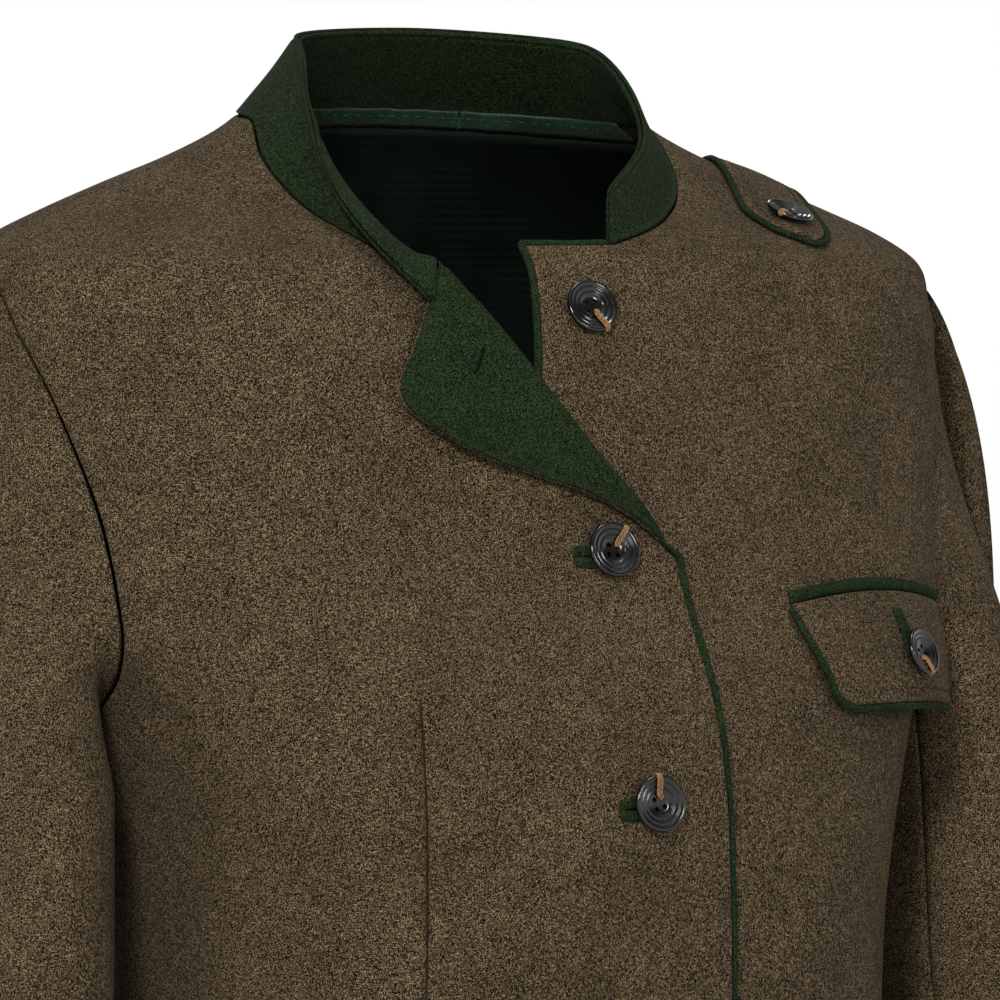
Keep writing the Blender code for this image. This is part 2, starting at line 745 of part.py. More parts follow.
def shoulder_place(x, y):
    """The place on the top of the torso at a plan position, found by halving."""
    low, high = np.full(np.shape(x), -150.0), np.full(np.shape(x), 6.0)
    forward = RING_CENTRE_Y - y
    for _ in range(40):
        z = (low + high) / 2
        width, power = smooth_column(RINGS, 1, z), smooth_column(RINGS, 4, z)
        depth = np.where(forward > 0, smooth_column(RINGS, 2, z), smooth_column(RINGS, 3, z))
        outside = np.abs(x / width) ** power + np.abs(forward / depth) ** power > 1
        high = np.where(outside, z, high)
        low = np.where(outside, low, z)
    return np.stack([np.arctan2(x, forward), z], axis=-1)


def tab_places(along, across):
    """Places of the epaulette: along 0 to 1 from its root to its tip, across -1 to 1."""
    root, tip = np.array(TAB_ROOT, float), np.array(TAB_TIP, float)
    aside = unit(np.array([root[1] - tip[1], tip[0] - root[0]]))
    into = np.clip((along - TAB_SQUARE) / (1.02 - TAB_SQUARE), 0, 1)
    half = TAB_HALF_WIDTH * np.sqrt(1 - into**2)
    plan = root + (tip - root) * along[..., None] + aside * (half * across)[..., None]
    return shoulder_place(plan[..., 0], plan[..., 1])


def epaulette(collection):
    """The tab over the wearer's left shoulder, pointing to the front, with its piping."""
    along, across = np.meshgrid(TAB_ROWS, np.linspace(-1, 1, 7), indexing="ij")
    places = tab_places(along, across)
    cloth("epaulette", [wall(places, LAID_GAP + CLOTH, CLOTH)], loden(), collection)
    rim = joined(places[:, 0], places[-1], places[::-1, -1])
    normal = torso_normal(rim)
    middle = torso(rim) + normal * (LAID_GAP + CLOTH / 2)
    edge_piping("epaulette_piping", middle, normal, -PIPING_RADIUS - PIPING_GAP, collection)


def neck_inside(name, first, last, flare, drop, height, lift, thickness, rows, surface, collection):
    """A strip inside the back, from a drop below the neck seam; angles in degrees from back."""
    share = np.linspace(1, 0, rows + 1)[:, None]
    turn = np.radians(np.linspace(first, last, max(3, int(abs(last - first) / 9)) + 1))
    turn = turn * (1 + flare * smooth_step(1 - share / FLARE_SHARE))
    neck = NECK_POINT_Z + (BACK_NECK_Z - NECK_POINT_Z) * np.cos(turn)
    places = np.stack([math.pi + turn, neck - drop - share * height], axis=-1)
    return cloth(name, [wall(places, lift, thickness)], surface, collection)


def inside_of_back(collection):
    lift = -CLOTH - TAPE_GAP
    tape = (TAPE_DROP, TAPE_WIDTH, lift, TAPE, 1, satin_tape(), collection)
    neck_inside("neck_tape_left", -84, TAPE_JOIN, 0, *tape)
    neck_inside("neck_tape_right", TAPE_JOIN + 0.4, 84, 0, *tape)
    drop = TAPE_DROP + TAPE_WIDTH + SEAM_GAP
    lining = (drop, LINING_LENGTH, -CLOTH - LINING_GAP, LINING, 9, dark_lining(), collection)
    neck_inside("back_lining", -LINING_TURN, LINING_TURN, LINING_FLARE, *lining)


def facing_matrix(point, normal, level):
    """A frame at a point with its Z along a normal and its X as near as can be to a direction."""
    z = Vector(normal)
    y = z.cross(Vector(level)).normalized()
    turn = Matrix((y.cross(z), y, z)).transposed().to_4x4()
    return Matrix.Translation(Vector(point) * MM) @ turn


def hole_cutter(name, radius, place, hidden):
    """Four round holes about a button's centre as one cutter."""
    body = bmesh.new()
    for turn in range(4):
        angle = math.radians(45 + 90 * turn)
        centre = Vector((math.cos(angle), math.sin(angle), 0)) * HOLE_SPREAD * radius * MM
        bmesh.ops.create_cone(
            body, cap_ends=True, segments=8, depth=12 * MM,
            radius1=HOLE_RADIUS * MM, radius2=HOLE_RADIUS * MM, matrix=Matrix.Translation(centre),
        )
    mesh = bpy.data.meshes.new(name)
    body.to_mesh(mesh)
    body.free()
    cutter = bpy.data.objects.new(name, mesh)
    cutter.matrix_world = place
    cutter.hide_render = True
    cutter.display_type = "WIRE"
    hidden.objects.link(cutter)
    return cutter


def button(name, point, normal, level, diameter, collection, hidden):
    """A turned horn button with a dished face, a raised rim and four holes."""
    radius = diameter / 2
    mesh = bpy.data.meshes.new(name)
    points = [(radius * share * MM, 0, height * MM) for share, height in BUTTON_PROFILE]
    mesh.from_pydata(points, [(i, i + 1) for i in range(len(points) - 1)], [])
    mesh.materials.append(horn())
    made = bpy.data.objects.new(name, mesh)
    collection.objects.link(made)
    made.matrix_world = facing_matrix(point, normal, level)
    screw = made.modifiers.new("turn", "SCREW")
    screw.steps = screw.render_steps = BUTTON_STEPS
    screw.use_merge_vertices = True
    screw.merge_threshold = 0.00001
    screw.use_smooth_shade = True
    screw.use_normal_calculate = True
    cut = made.modifiers.new("holes", "BOOLEAN")
    cut.operation = "DIFFERENCE"
    cut.solver = "EXACT"
    cut.object = hole_cutter(name + "_holes", radius, made.matrix_world, hidden)
    return made


def slit_lips(name, at, half_length, half_height, collection):
    """A bound buttonhole as one flat body: two lips that meet at a slit, joined at the ends.

    at(u, v) gives the outer points and normals over the buttonhole, in millimetres from its
    middle along the slit and across it.
    """
    across = [-half_length, SEAM_GAP - half_length + 1, 0, half_length - 1 - SEAM_GAP, half_length]
    patches = []
    for first, last, low, high in (
        (0, 4, -half_height, -SLIT / 2), (0, 4, SLIT / 2, half_height),
        (0, 1, -SLIT / 2, SLIT / 2), (3, 4, -SLIT / 2, SLIT / 2),
    ):
        u, v = np.meshgrid(across[first:last + 1], [low, high])
        outer, normal = at(u, v)
        patches.append((outer, outer - normal * LIP))
    return cloth(name, patches, green_felt(), collection)


def over_front(x, z, slope):
    """Points on the right front's buttonholes, laid level or on a slope about (x, z)."""
    def at(u, v):
        places = front_place(
            x + u * math.cos(slope) - v * math.sin(slope), z + u * math.sin(slope) + v * math.cos(slope)
        )
        normal = torso_normal(places)
        lift = right_front_lift(places) + LAID_GAP + LIP
        return torso(places) + normal * lift[..., None], normal
    return at


def front_buttons(collection, hidden):
    """Five buttons down the front; those below the first lie on bound buttonholes."""
    level = (1, 0, 0)
    for number, x in enumerate(BUTTON_X):
        z = FIRST_BUTTON_Z - number * BUTTON_PITCH
        place = front_place(x, z)
        normal = torso_normal(place)
        lift = LAID_GAP
        if number:
            lips = over_front(x - SLIT_BACK, z - SLIT_DROP, 0)
            slit_lips(f"buttonhole_{number + 1}", lips, SLIT_LENGTH / 2, SLIT_HEIGHT / 2, collection)
            lift = right_front_lift(place) + 2 * LAID_GAP + LIP
        point = torso(place) + normal * lift
        name = f"front_button_{number + 1}"
        button(name, point, normal, level, BUTTON_DIAMETER, collection, hidden)


def small_buttons(collection, hidden):
    place = tab_places(np.array(TAB_BUTTON), np.array(0.0))
    normal = torso_normal(place)
    point = torso(place) + normal * (2 * LAID_GAP + CLOTH)
    level = (1, 0, 0)
    button("epaulette_button", point, normal, level, SMALL_BUTTON_DIAMETER, collection, hidden)
    share, depth = (np.array([[value]]) for value in FLAP_BUTTON)
    normal = flap_normal(share, depth)[0]
    point = flap_surface(share, depth)[0] + normal * (2 * LAID_GAP + LIP)
    button("flap_button", point, normal, level, SMALL_BUTTON_DIAMETER, collection, hidden)


def flap_slit(collection):
    """The flap's buttonhole, up and down the flap under its button."""
    def at(u, v):
        share = (FLAP_SLIT[0] + v / FLAP_WIDTH)[..., None]
        depth = (FLAP_SLIT[1] - u / FLAP_DEPTH)[..., None]
        normal = flap_normal(share, depth)
        return flap_surface(share, depth) + normal * (LAID_GAP + LIP), normal
    slit_lips("flap_buttonhole", at, SLIT_LENGTH * 0.45, SLIT_HEIGHT * 0.35, collection)


def lapel_slit(collection):
    """The buttonhole on the turned corner, along its outer edge."""
    steps = np.linspace(0, 1, 3)
    middle = np.array(LAPEL_SLIT[0]) + (np.array(LAPEL_SLIT[1]) - np.array(LAPEL_SLIT[0])) * steps[:, None]
    aside = np.array([LAPEL_SLIT[1][1] - LAPEL_SLIT[0][1], LAPEL_SLIT[0][0] - LAPEL_SLIT[1][0]])
    aside = unit(aside.astype(float)) * SLIT
    spots = np.stack([middle + aside, middle - aside])
    places = front_place(spots[..., 0], spots[..., 1])
    lift = right_front_lift(front_place(*np.moveaxis(spots + LAPEL_SLIT_LIFT_FROM, -1, 0)))
    height = ROLL_RADIUS + ROLL_RADIUS + CLOTH + SEAM_GAP + FELT + LAID_GAP + TAPE
    cloth("lapel_buttonhole", [wall(places, lift + height, TAPE)], green_felt(), collection)


def main():
    for existing in list(bpy.data.objects):
        bpy.data.objects.remove(existing, do_unlink=True)
    jacket = bpy.data.collections.new("loden_jacket")
    bpy.context.scene.collection.children.link(jacket)
    front_right(jacket)
    front_left(jacket)
    back(1, "back_left", jacket)
    back(-1, "back_right", jacket)
    sleeves(jacket)
    collar(jacket)
    lapel_facing(jacket)
    front_pipings(jacket)
    pocket(jacket)
    epaulette(jacket)
    inside_of_back(jacket)
    hidden = bpy.data.collections.new("cutters")
    bpy.context.scene.collection.children.link(hidden)
    front_buttons(jacket, hidden)
    small_buttons(jacket, hidden)
    flap_slit(jacket)
    lapel_slit(jacket)


main()
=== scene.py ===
"""Looks of the loden jacket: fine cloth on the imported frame, trims, stitches, looks and light.

The frame's axes hold: +Z up, the front faces -Y, the wearer's right side is -X, the origin is the
middle of the neck. Lengths are in millimetres; MM turns them into Blender's metres.
"""

import math

import bmesh
import bpy
import numpy as np
from mathutils import Matrix, Vector


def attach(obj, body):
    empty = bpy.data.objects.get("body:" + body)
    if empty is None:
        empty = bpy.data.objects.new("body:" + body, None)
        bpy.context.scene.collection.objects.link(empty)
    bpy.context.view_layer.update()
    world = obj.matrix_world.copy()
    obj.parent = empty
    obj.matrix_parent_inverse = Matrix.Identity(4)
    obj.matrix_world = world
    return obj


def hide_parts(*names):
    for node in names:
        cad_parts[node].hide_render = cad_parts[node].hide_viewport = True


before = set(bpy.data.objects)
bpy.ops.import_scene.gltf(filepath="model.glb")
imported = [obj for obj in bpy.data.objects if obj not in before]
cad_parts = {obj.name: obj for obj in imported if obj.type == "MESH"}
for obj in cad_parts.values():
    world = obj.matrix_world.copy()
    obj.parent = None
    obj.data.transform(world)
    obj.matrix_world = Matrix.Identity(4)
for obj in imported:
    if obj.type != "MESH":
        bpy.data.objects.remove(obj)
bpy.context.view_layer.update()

MM = 0.001
SEAM_GAP = 0.3
CLOTH = 2.2
FELT = 1.6
LINING = 1.0

# Torso rings: rows of z, half width, depth before and behind the centre, roundness exponent.
RINGS = (
    (15, 78, 16, 58, 2.1),
    (6, 86, 27, 66, 2.0),
    (-8, 113, 40, 77, 2.0),
    (-18, 140, 50, 82, 2.0),
    (-28, 166, 63, 86, 2.0),
    (-37, 187, 82, 89, 2.0),
    (-46, 200, 92, 92, 2.2),
    (-65, 204, 102, 97, 2.4),
    (-100, 203, 112, 104, 2.4),
    (-137, 202, 118, 109, 2.45),
    (-173, 196, 129, 112, 2.6),
    (-210, 177, 146, 112, 2.7),
    (-250, 162, 155, 110, 2.75),
    (-292, 153, 158, 107, 2.8),
    (-335, 151, 158, 104, 2.8),
    (-400, 152, 159, 101, 2.7),
    (-480, 161, 157, 108, 2.6),
    (-585, 175, 156, 117, 2.5),
)
RING_CENTRE_Y = 8
HEM_Z = -585

# Openings and seams.
NECK_POINT_Z = 6
SHOULDER_POINT_Z = -43
UNDERARM_Z = -228
BACK_NECK_Z = 12.5
ARMHOLE_FRONT = math.radians(22.5)
ARMHOLE_BACK = math.radians(21)
ARMHOLE_STEPS = 240
LOOP_STEPS = 181

# Fronts: how far each front runs past the centre line, which drifts sideways below the chest.
RIGHT_OVERLAP = 25
LEFT_OVERLAP = 21
LEFT_CORNER_CUT = 6.5
CORNER_CUT_FROM_Z = -110
FRONT_TOP_Z = -42
BREAK_Z = -160
CENTRE_DRIFT = 6
DRIFT_FROM_Z = -100
DRIFT_LENGTH = 150
FRONT_LIFT = 3.8
LIFT_FROM_X = -62
LIFT_WIDTH = 30
# Rows of x, z.
LEFT_NECK = ((23.5, -42), (43, -37), (61, -31), (74, -24), (83, -12), (86, 6))
RIGHT_NECK = ((-58, -53), (-72, -46), (-84, -36), (-91, -24), (-93, -10), (-86, 6))

# Lapel: the outline of the turned-back corner, from its top edge to the break.
ROLL_RADIUS = 1.0
LAPEL_CORNER = (-83, -99)
LAPEL_SWAY = 4
ROLL_BOW = -3

# Collar: height against the distance from each end, and how far it leans in, in radians.
# Rows of distance, height.
COLLAR_HEIGHT = ((30, 29), (70, 33), (115, 36), (155, 38), (195, 39.5), (400, 39.5))
COLLAR_LEFT_HEIGHT = ((0, 21), (8, 25), *COLLAR_HEIGHT)
COLLAR_RIGHT_HEIGHT = ((0, 22), (8, 24), *COLLAR_HEIGHT)
# Rows of distance, lean.
COLLAR_LEAN = ((0, 0), (30, 0.17), (75, 0.36), (115, 0.55), (150, 0.66), (400, 0.66))
COLLAR_BASE_BEND = 5
COLLAR_ROLL_REACH = 85
COLLAR_RIGHT_FALL = 18
COLLAR_ROLL_ONSET = 0.6
COLLAR_ROLL_LENGTH = 9
COLLAR_GAP = 0.4

# Sleeve rings: centre and half sizes across and front to back.
# Rows of z, x, y, half across, half deep.
SLEEVE_RINGS = (
    (-246, 202.5, -14, 36, 65),
    (-330, 206, -22, 37, 61),
    (-410, 213, -33, 36, 55),
    (-500, 219, -52, 34, 49),
    (-600, 222, -80, 32, 45),
)
SLEEVE_GAP = 0.7
SLEEVE_FRONT_SEAM = math.radians(140)
SLEEVE_BACK_SEAM = math.radians(250)

CAP_STRAIGHT = 0.3
CAP_BULGE = 0.3
CAP_EASE = 0.12

# Grid sizes of the panels.
PANEL_COLUMNS = 40
SIDE_ROWS = 73
NECK_ROWS = 73
NECK_GAP = 0.8
ROLL_ROWS = 65

# Trims.
LAID_GAP = 0.5
PIPING_RADIUS = 1.1
PIPING_GAP = 0.45
PIPING_END = 0.7
TAPE = 0.6
TAPE_DROP = 0.3
TAPE_WIDTH = 5
TAPE_JOIN = -34
TAPE_GAP = 0.9
LINING_LENGTH = 190
LINING_TURN = 60
LINING_FLARE = 0.4
FLARE_SHARE = 0.26
LINING_GAP = 1.5

# Chest pocket: (x, z) of the flap's corners, its arched top and how far its foot swings out.
FLAP_TOP = ((77, -177.5), (174, -180.5))
FLAP_FOOT = ((88, -215.5), (168, -215.5))
FLAP_ARCH = 5.5
FLAP_CORNER = 11
FLAP_SWING_FRONT = 2
FLAP_SWING_SIDE = 12
FLAP_WIDTH = 106
FLAP_DEPTH = 42
WELT = 4.8

# Epaulette: plan positions of its ends on the shoulder.
TAB_ROOT = (141, 34)
TAB_TIP = (114.6, -61.3)
TAB_HALF_WIDTH = 15
TAB_SQUARE = 0.83
TAB_BUTTON = 0.87
TAB_BUTTON_RISE = 0.6

# Buttons and buttonholes.
BUTTON_DIAMETER = 21
SMALL_BUTTON_DIAMETER = 18.5
HOLE_SPREAD = 0.24
HOLE_RADIUS = 0.95
HOLE_STEPS = 20
DRILL_LENGTH = 12
BUTTON_SHARP_ANGLE = math.radians(55)
FIRST_BUTTON_Z = -66
BUTTON_PITCH = 91
BUTTON_X = (4.2, -1.8, -0.6, -0.6, -0.6)
SLIT_LENGTH = 24
SLIT_HEIGHT = 8.4
SLIT_BACK = 3.5
SLIT_DROP = 1.8
LIP = 1.0
FLAP_BUTTON = (0.55, 0.6)
FLAP_SLIT = (0.53, 0.43)
LAPEL_SLIT = ((-49, -82), (-53.5, -91))
LAPEL_SLIT_LIFT_FROM = (15, 10)
LAPEL_SLIT_RISE = 0.15

# Soft creases and hollows: rows of a line's start, its end, its half width and its height.
TORSO_CREASES = (
    ((-172, -60, -222), (-168, -66, -430), 15, -7.0),
    ((64, -104, -70), (58, -112, -112), 20, -2.2),
    ((100, -92, -96), (124, -96, -150), 16, 1.6),
    ((150, -70, -150), (172, -52, -205), 9, -1.6),
    ((160, -88, -240), (142, -118, -300), 11, -1.4),
    ((150, -100, -300), (120, -140, -370), 14, 1.3),
    ((-64, -120, -130), (-92, -112, -190), 20, 1.8),
    ((-176, -52, -200), (-150, -90, -236), 9, -1.8),
    ((-160, -86, -226), (-128, -120, -250), 10, 1.4),
    ((-150, -96, -262), (-112, -136, -282), 13, -1.6),
    ((-100, -140, -330), (-60, -150, -420), 18, 1.4),
    ((-30, -150, -300), (-18, -152, -380), 14, -1.0),
    ((40, -150, -250), (52, -150, -340), 15, -1.0),
    ((92, -140, -420), (100, -140, -560), 18, 1.6),
    ((-110, -128, -440), (-122, -126, -570), 17, 1.8),
    ((0, 112, -60), (6, 118, -150), 24, -1.4),
    ((70, 108, -120), (110, 96, -190), 15, 1.6),
    ((-76, 108, -128), (-104, 98, -200), 15, 1.5),
    ((120, 92, -210), (60, 116, -262), 12, -1.7),
    ((-118, 92, -216), (-64, 114, -258), 12, -1.5),
    ((98, 100, -290), (34, 112, -318), 11, -1.4),
    ((-92, 100, -300), (-40, 112, -330), 12, -1.3),
    ((84, 106, -400), (96, 106, -560), 18, 1.9),
    ((-80, 106, -410), (-98, 106, -566), 18, 1.9),
    ((10, 114, -430), (4, 118, -560), 20, -1.6),
)
SLEEVE_CREASES = (
    ((186, -70, -150), (226, -66, -186), 8, -1.8),
    ((196, -74, -196), (236, -52, -214), 8, 1.5),
    ((184, -78, -226), (226, -72, -262), 9, -1.7),
    ((196, -88, -330), (238, -70, -300), 12, -2.0),
    ((206, -92, -372), (244, -66, -352), 11, 1.7),
    ((190, -84, -402), (236, -86, -392), 10, -1.8),
    ((180, -40, -420), (190, -90, -440), 10, 1.4),
    ((238, -20, -330), (246, -30, -440), 14, -1.6),
    ((212, -100, -452), (222, -112, -560), 12, 1.5),
    ((236, -60, -470), (240, -84, -570), 11, -1.3),
    ((222, 34, -170), (236, 26, -260), 13, -1.8),
    ((200, 50, -220), (214, 44, -330), 13, 1.6),
    ((230, 20, -372), (206, 24, -398), 10, -1.8),
    ((236, 4, -416), (204, 14, -432), 10, 1.4),
    ((214, -4, -470), (222, -30, -570), 12, 1.4),
)
CREASE_FADE = (0.1, 0.8)
CALM_RISE = 4
CALM_DEPTH = 60
MIRROR_SHIFT = (0, 6, -9)
WAVE_HEIGHT = 0.42
WAVE_COUNT = 12
WAVE_LENGTHS = (55, 150)
WAVE_SPREAD = 2.4
SEED = 5

# The dart on the right front: its x at its top end and at the hem.
DART_X = (-87.5, -92)
DART_TOP = -206
DART_DEPTH = 1.3
DART_HALF_WIDTH = 0.9
# The dart's dark thread tube is painted shade: its radius and rise set the dark line along the dart's
# seam.
DART_SHADE_THREAD = 0.42
DART_SHADE_THREAD_RISE = 0.25
DART_BESIDE = (-2.4, -1.2, -0.6, 0, 0.6, 1.2, 2.4)

# Sleeves: cells round them and the soft puff of the sleeve head past its seam.
UPPER_COLUMNS = 64
UNDER_COLUMNS = 28
PUFF = 1.6
PUFF_REACH = 14
SLEEVE_CALM = 14
SLEEVE_RADIUS = 36

# The collar's stitched groove and round corners.
COLLAR_STEPS = 60
SOFTEN_ROUNDS = 110
GORGE_ROWS = 5
GORGE_ROLL_MOVE = (6.4, -4.2, -1.0)
GORGE_EDGE_MOVE = (4.9, -4.3, -7.0)
COLLAR_GROOVE = 2.2
COLLAR_GROOVE_HALF = 0.7
COLLAR_GROOVE_DEPTH = 0.55
COLLAR_ROUND = 6
COLLAR_EDGE = (0.8, 0.7)

# Flap and tab: a soft fold down the flap, its crown, and stitch distances from their edges.
FLAP_RIDGE = 1.3
FLAP_RIDGE_AT = 0.56
FLAP_RIDGE_HALF = 0.13
FLAP_CROWN = 1.0
TAB_CROWN = 0.7
WELT_CROWN = 1.7
WELT_RISE = 0.25
WELT_END = 1.5
FLAP_STITCH = 4.6
TAB_STITCH = 4.2
EDGE_STITCH = 5.5

# Buttons: the fine profile, how far each is rolled, where its thread's tail goes, in degrees.
FINE_BUTTON_STEPS = 72
FINE_BUTTON_PROFILE = (
    (0.01, 1.15), (0.2, 1.18), (0.34, 1.3), (0.42, 1.55), (0.47, 1.9), (0.505, 2.12), (0.535, 2.16),
    (0.56, 2.05), (0.58, 1.98), (0.61, 2.1), (0.66, 2.4), (0.7, 2.62), (0.73, 2.68), (0.755, 2.58),
    (0.775, 2.52), (0.8, 2.64), (0.85, 2.98), (0.9, 3.16), (0.94, 3.12), (0.97, 2.92), (0.99, 2.55),
    (1, 2.1), (0.985, 1.5), (0.93, 0.8), (0.8, 0.25), (0.5, 0), (0.01, 0),
)
BUTTON_ROLLS = (8, -6, 14, 3, -11)
BUTTON_TAILS = (-74, 60, 78, -66, 82)
TAB_ROLL, TAB_TAIL = 15, 200
FLAP_ROLL, FLAP_TAIL = 35, 250
THREAD_RADIUS = 0.26
STITCH_LIFT = 1.2
STITCH_SCATTER = 0.06
TAIL_STRANDS = 5
TAIL_RADIUS = 0.95
TAIL_TWIST = 2.2
LINING_RIB = 3.4
SEAM_THREAD = 0.9
# Rows of turn in degrees, low z, high z.
TORSO_SEAMS = (
    (90, SHOULDER_POINT_Z, NECK_POINT_Z), (-90, SHOULDER_POINT_Z, NECK_POINT_Z),
    (90, HEM_Z, UNDERARM_Z), (-90, HEM_Z, UNDERARM_Z), (180, HEM_Z, BACK_NECK_Z),
)
TAPE_RAISE = 1.5
TIP_ROWS = 12
TIP_TAPER = 0.3
FACING_CLEAR = 0.02
# A dark green thread beside the lapel buttonhole's bar is painted shade that stands for its slit; its
# offset and radius follow.
SLIT_BESIDE = 1.1
SLIT_SHADE_THREAD = 0.6
PIPING_RUN_ON = 5

# Lies of the wool's fibres: a turn in degrees about each axis and a share of the length.
FIBRE_TURNS = (
    ((20, 40, 10), 1), ((-35, -50, 60), 0.8), ((70, 5, -30), 1.2),
    ((-10, 75, 35), 0.9), ((40, -20, -70), 1.1), ((10, -65, 5), 0.8),
)

# Camera and stage.
AIM = (14.84, -8.46, -139.7)
CAMERA_TURN = -29.678
CAMERA_RISE = 1.666
CAMERA_DISTANCE = 2964
CAMERA_LENS = 278.57
FLOOR_Z = -640
FLOOR_RADIUS = 1900
WORLD_STRENGTH = 0.72
WORLD_STOPS = (
    (0, (0.3, 0.3, 0.3, 1)), (0.3, (1, 1, 1, 1)), (0.58, (1, 1, 1, 1)), (0.66, (0.18, 0.18, 0.18, 1)),
    (0.84, (0.14, 0.14, 0.14, 1)), (0.95, (0.8, 0.8, 0.8, 1)), (1, (0.8, 0.8, 0.8, 1)),
)
EXPOSURE = 0.474
NOISE_LOW, NOISE_HIGH = 0.3, 0.7
# Rows of name, place, power, size.
LIGHTS = (
    ("key", (-1700, -2000, 1100), 46, 600),
    ("front", (500, -2600, 700), 13, 500),
    ("top", (200, -300, 2100), 10, 700),
    ("rim", (900, 1900, 1000), 6, 900),
)

# The lapel's edge: its round corner and its topstitched groove.
LAPEL_ROUND = 9
LAPEL_EDGE_SHARES = np.array([
    0.17, 0.145, 0.12, 0.1, 0.08, 0.062, 0.048, 0.036, 0.026, 0.018, 0.012, 0.007, 0.003, 0,
])
LAPEL_GROOVE = 3.1
LAPEL_GROOVE_HALF = 1.1
LAPEL_GROOVE_DEPTH = 0.95

# Edges of the shells: how far in the rounding reaches, how deep it goes outside and inside.
FREE = (1.1, 1.05, 1.05)
SEAM = (2.8, 0.95, 0.3)
EDGE_STEPS = (0.1, 0.3, 0.6, 1)
ALL_FREE = dict.fromkeys(("first_row", "last_row", "first_column", "last_column"), FREE)
GROOVE_STEPS = (-1.6, -0.8, 0, 0.8, 1.6, 3)
MERGE_DISTANCE = 0.004
CORNER_PULL = 0.293

# Stitches: length of a thread, pitch, radius and how deep its ends sink.
FELT_STITCHES = (2.1, 2.9, 0.2, 0.55)
LODEN_STITCHES = (2.3, 3.2, 0.17, 0.12)
TAPE_STITCHES = (2.6, 5.2, 0.22, 0)

# A button's thread: rows of distance from the button's middle and height.
TAIL_PATH = ((3.4, 2.1), (6.2, 2.9), (8.6, 3.5), (10.3, 3.1), (11, 1.6))
LIP_OPENING = 0.2

# The lapel's felt facing: turns of its roll, in half circles, and its inner radius.
FACING_TURNS = np.linspace(0.2, 1, 14)
FACING_RADIUS = ROLL_RADIUS + CLOTH + SEAM_GAP

# Grid cells of the fine shells.
LEFT_EDGE_ROWS = 121
RIGHT_EDGE_ROWS = 81
TOP_EDGE_ROWS = 25
BACK_ROWS = 145
DART_CELLS = 20
SLEEVE_CAP_ROWS = 44
SLEEVE_ROWS = 84


def hermite(t, start, lead, end, tail):
    """Cubic between two values with given slopes there; t runs from 0 to 1."""
    return (
        start * (2 * t**3 - 3 * t**2 + 1)
        + lead * (t**3 - 2 * t**2 + t)
        + end * (3 * t**2 - 2 * t**3)
        + tail * (t**3 - t**2)
    )


def curve_through(points, t):
    """A smooth curve through rows of values, where t counts the rows."""
    slopes = np.gradient(points, axis=0)
    k = np.clip(t.astype(int), 0, len(points) - 2)
    return hermite((t - k)[:, None], points[k], slopes[k], points[k + 1], slopes[k + 1])


def bell(distance, half_width):
    return np.exp(-((distance / half_width) ** 2))


def run_length(points):
    """Length along a polyline from its first point."""
    return np.concatenate([[0], np.cumsum(np.linalg.norm(np.diff(points, axis=0), axis=1))])


def smooth_column(table, column, x):
    """Cubic interpolation of one table column over the first, with matching slopes."""
    rows = np.array(sorted(table), dtype=float)
    knots, values = rows[:, 0], rows[:, column]
    slopes = np.gradient(values, knots)
    x = np.clip(x, knots[0], knots[-1])
    i = np.clip(np.searchsorted(knots, x) - 1, 0, len(knots) - 2)
    step = knots[i + 1] - knots[i]
    t = (x - knots[i]) / step
    return hermite(t, values[i], slopes[i] * step, values[i + 1], slopes[i + 1] * step)


def smooth_step(x):
    t = np.clip(x, 0, 1)
    return t * t * (3 - 2 * t)


def unit(vectors):
    return vectors / np.maximum(np.linalg.norm(vectors, axis=-1, keepdims=True), 1e-12)


def creases(points, table):
    """Height of the soft creases at the points, faded towards each crease's ends."""
    total = np.zeros(points.shape[:-1])
    for start, end, half_width, height in table:
        start = np.array(start, float)
        run = np.array(end, float) - start
        t = np.clip(((points - start) @ run) / (run @ run), 0, 1)
        away = np.linalg.norm(points - start - t[..., None] * run, axis=-1)
        fade = np.sin(math.pi * (CREASE_FADE[0] + CREASE_FADE[1] * t))
        total += height * bell(away, half_width) * fade
    return total


def wave_table():
    """Directions, wave numbers and phases of the cloth's gentle unevenness, the same each run."""
    chance = np.random.default_rng(SEED)
    directions = unit(chance.normal(size=(WAVE_COUNT, 3)))
    lengths = chance.uniform(*WAVE_LENGTHS, size=(WAVE_COUNT, 1))
    return directions * 2 * math.pi / lengths, chance.uniform(0, 2 * math.pi, WAVE_COUNT)


WAVE_VECTORS, WAVE_PHASES = wave_table()


def unevenness(points):
    return WAVE_HEIGHT * np.sum(np.sin(points @ WAVE_VECTORS.T + WAVE_PHASES), axis=-1) / WAVE_SPREAD


def torso_form(place):
    """Point of the smooth torso at (angle, z); angle 0 is the front, positive to the wearer's left."""
    angle, z = place[..., 0], place[..., 1]
    width = smooth_column(RINGS, 1, z)
    front = smooth_column(RINGS, 2, z)
    back = smooth_column(RINGS, 3, z)
    power = smooth_column(RINGS, 4, z)
    across, along = np.sin(angle), np.cos(angle)
    depth = np.where(along > 0, front, back)
    reach = (np.abs(across / width) ** power + np.abs(along / depth) ** power) ** (-1 / power)
    return np.stack([reach * across, RING_CENTRE_Y - reach * along, z], axis=-1)


def normal_of(surface, place):
    turn = np.array([1e-3, 0])
    rise = np.array([0, 0.5])
    around = surface(place + turn) - surface(place - turn)
    upward = surface(place + rise) - surface(place - rise)
    return unit(np.cross(around, upward))


def torso(place):
    """Point of the torso with its creases; they fade out towards the neck."""
    form = torso_form(place)
    height = creases(form, TORSO_CREASES) + unevenness(form)
    calm = smooth_step((NECK_POINT_Z + CALM_RISE - form[..., 2]) / CALM_DEPTH)
    return form + normal_of(torso_form, place) * (height * calm)[..., None]


def torso_normal(place):
    return normal_of(torso, place)


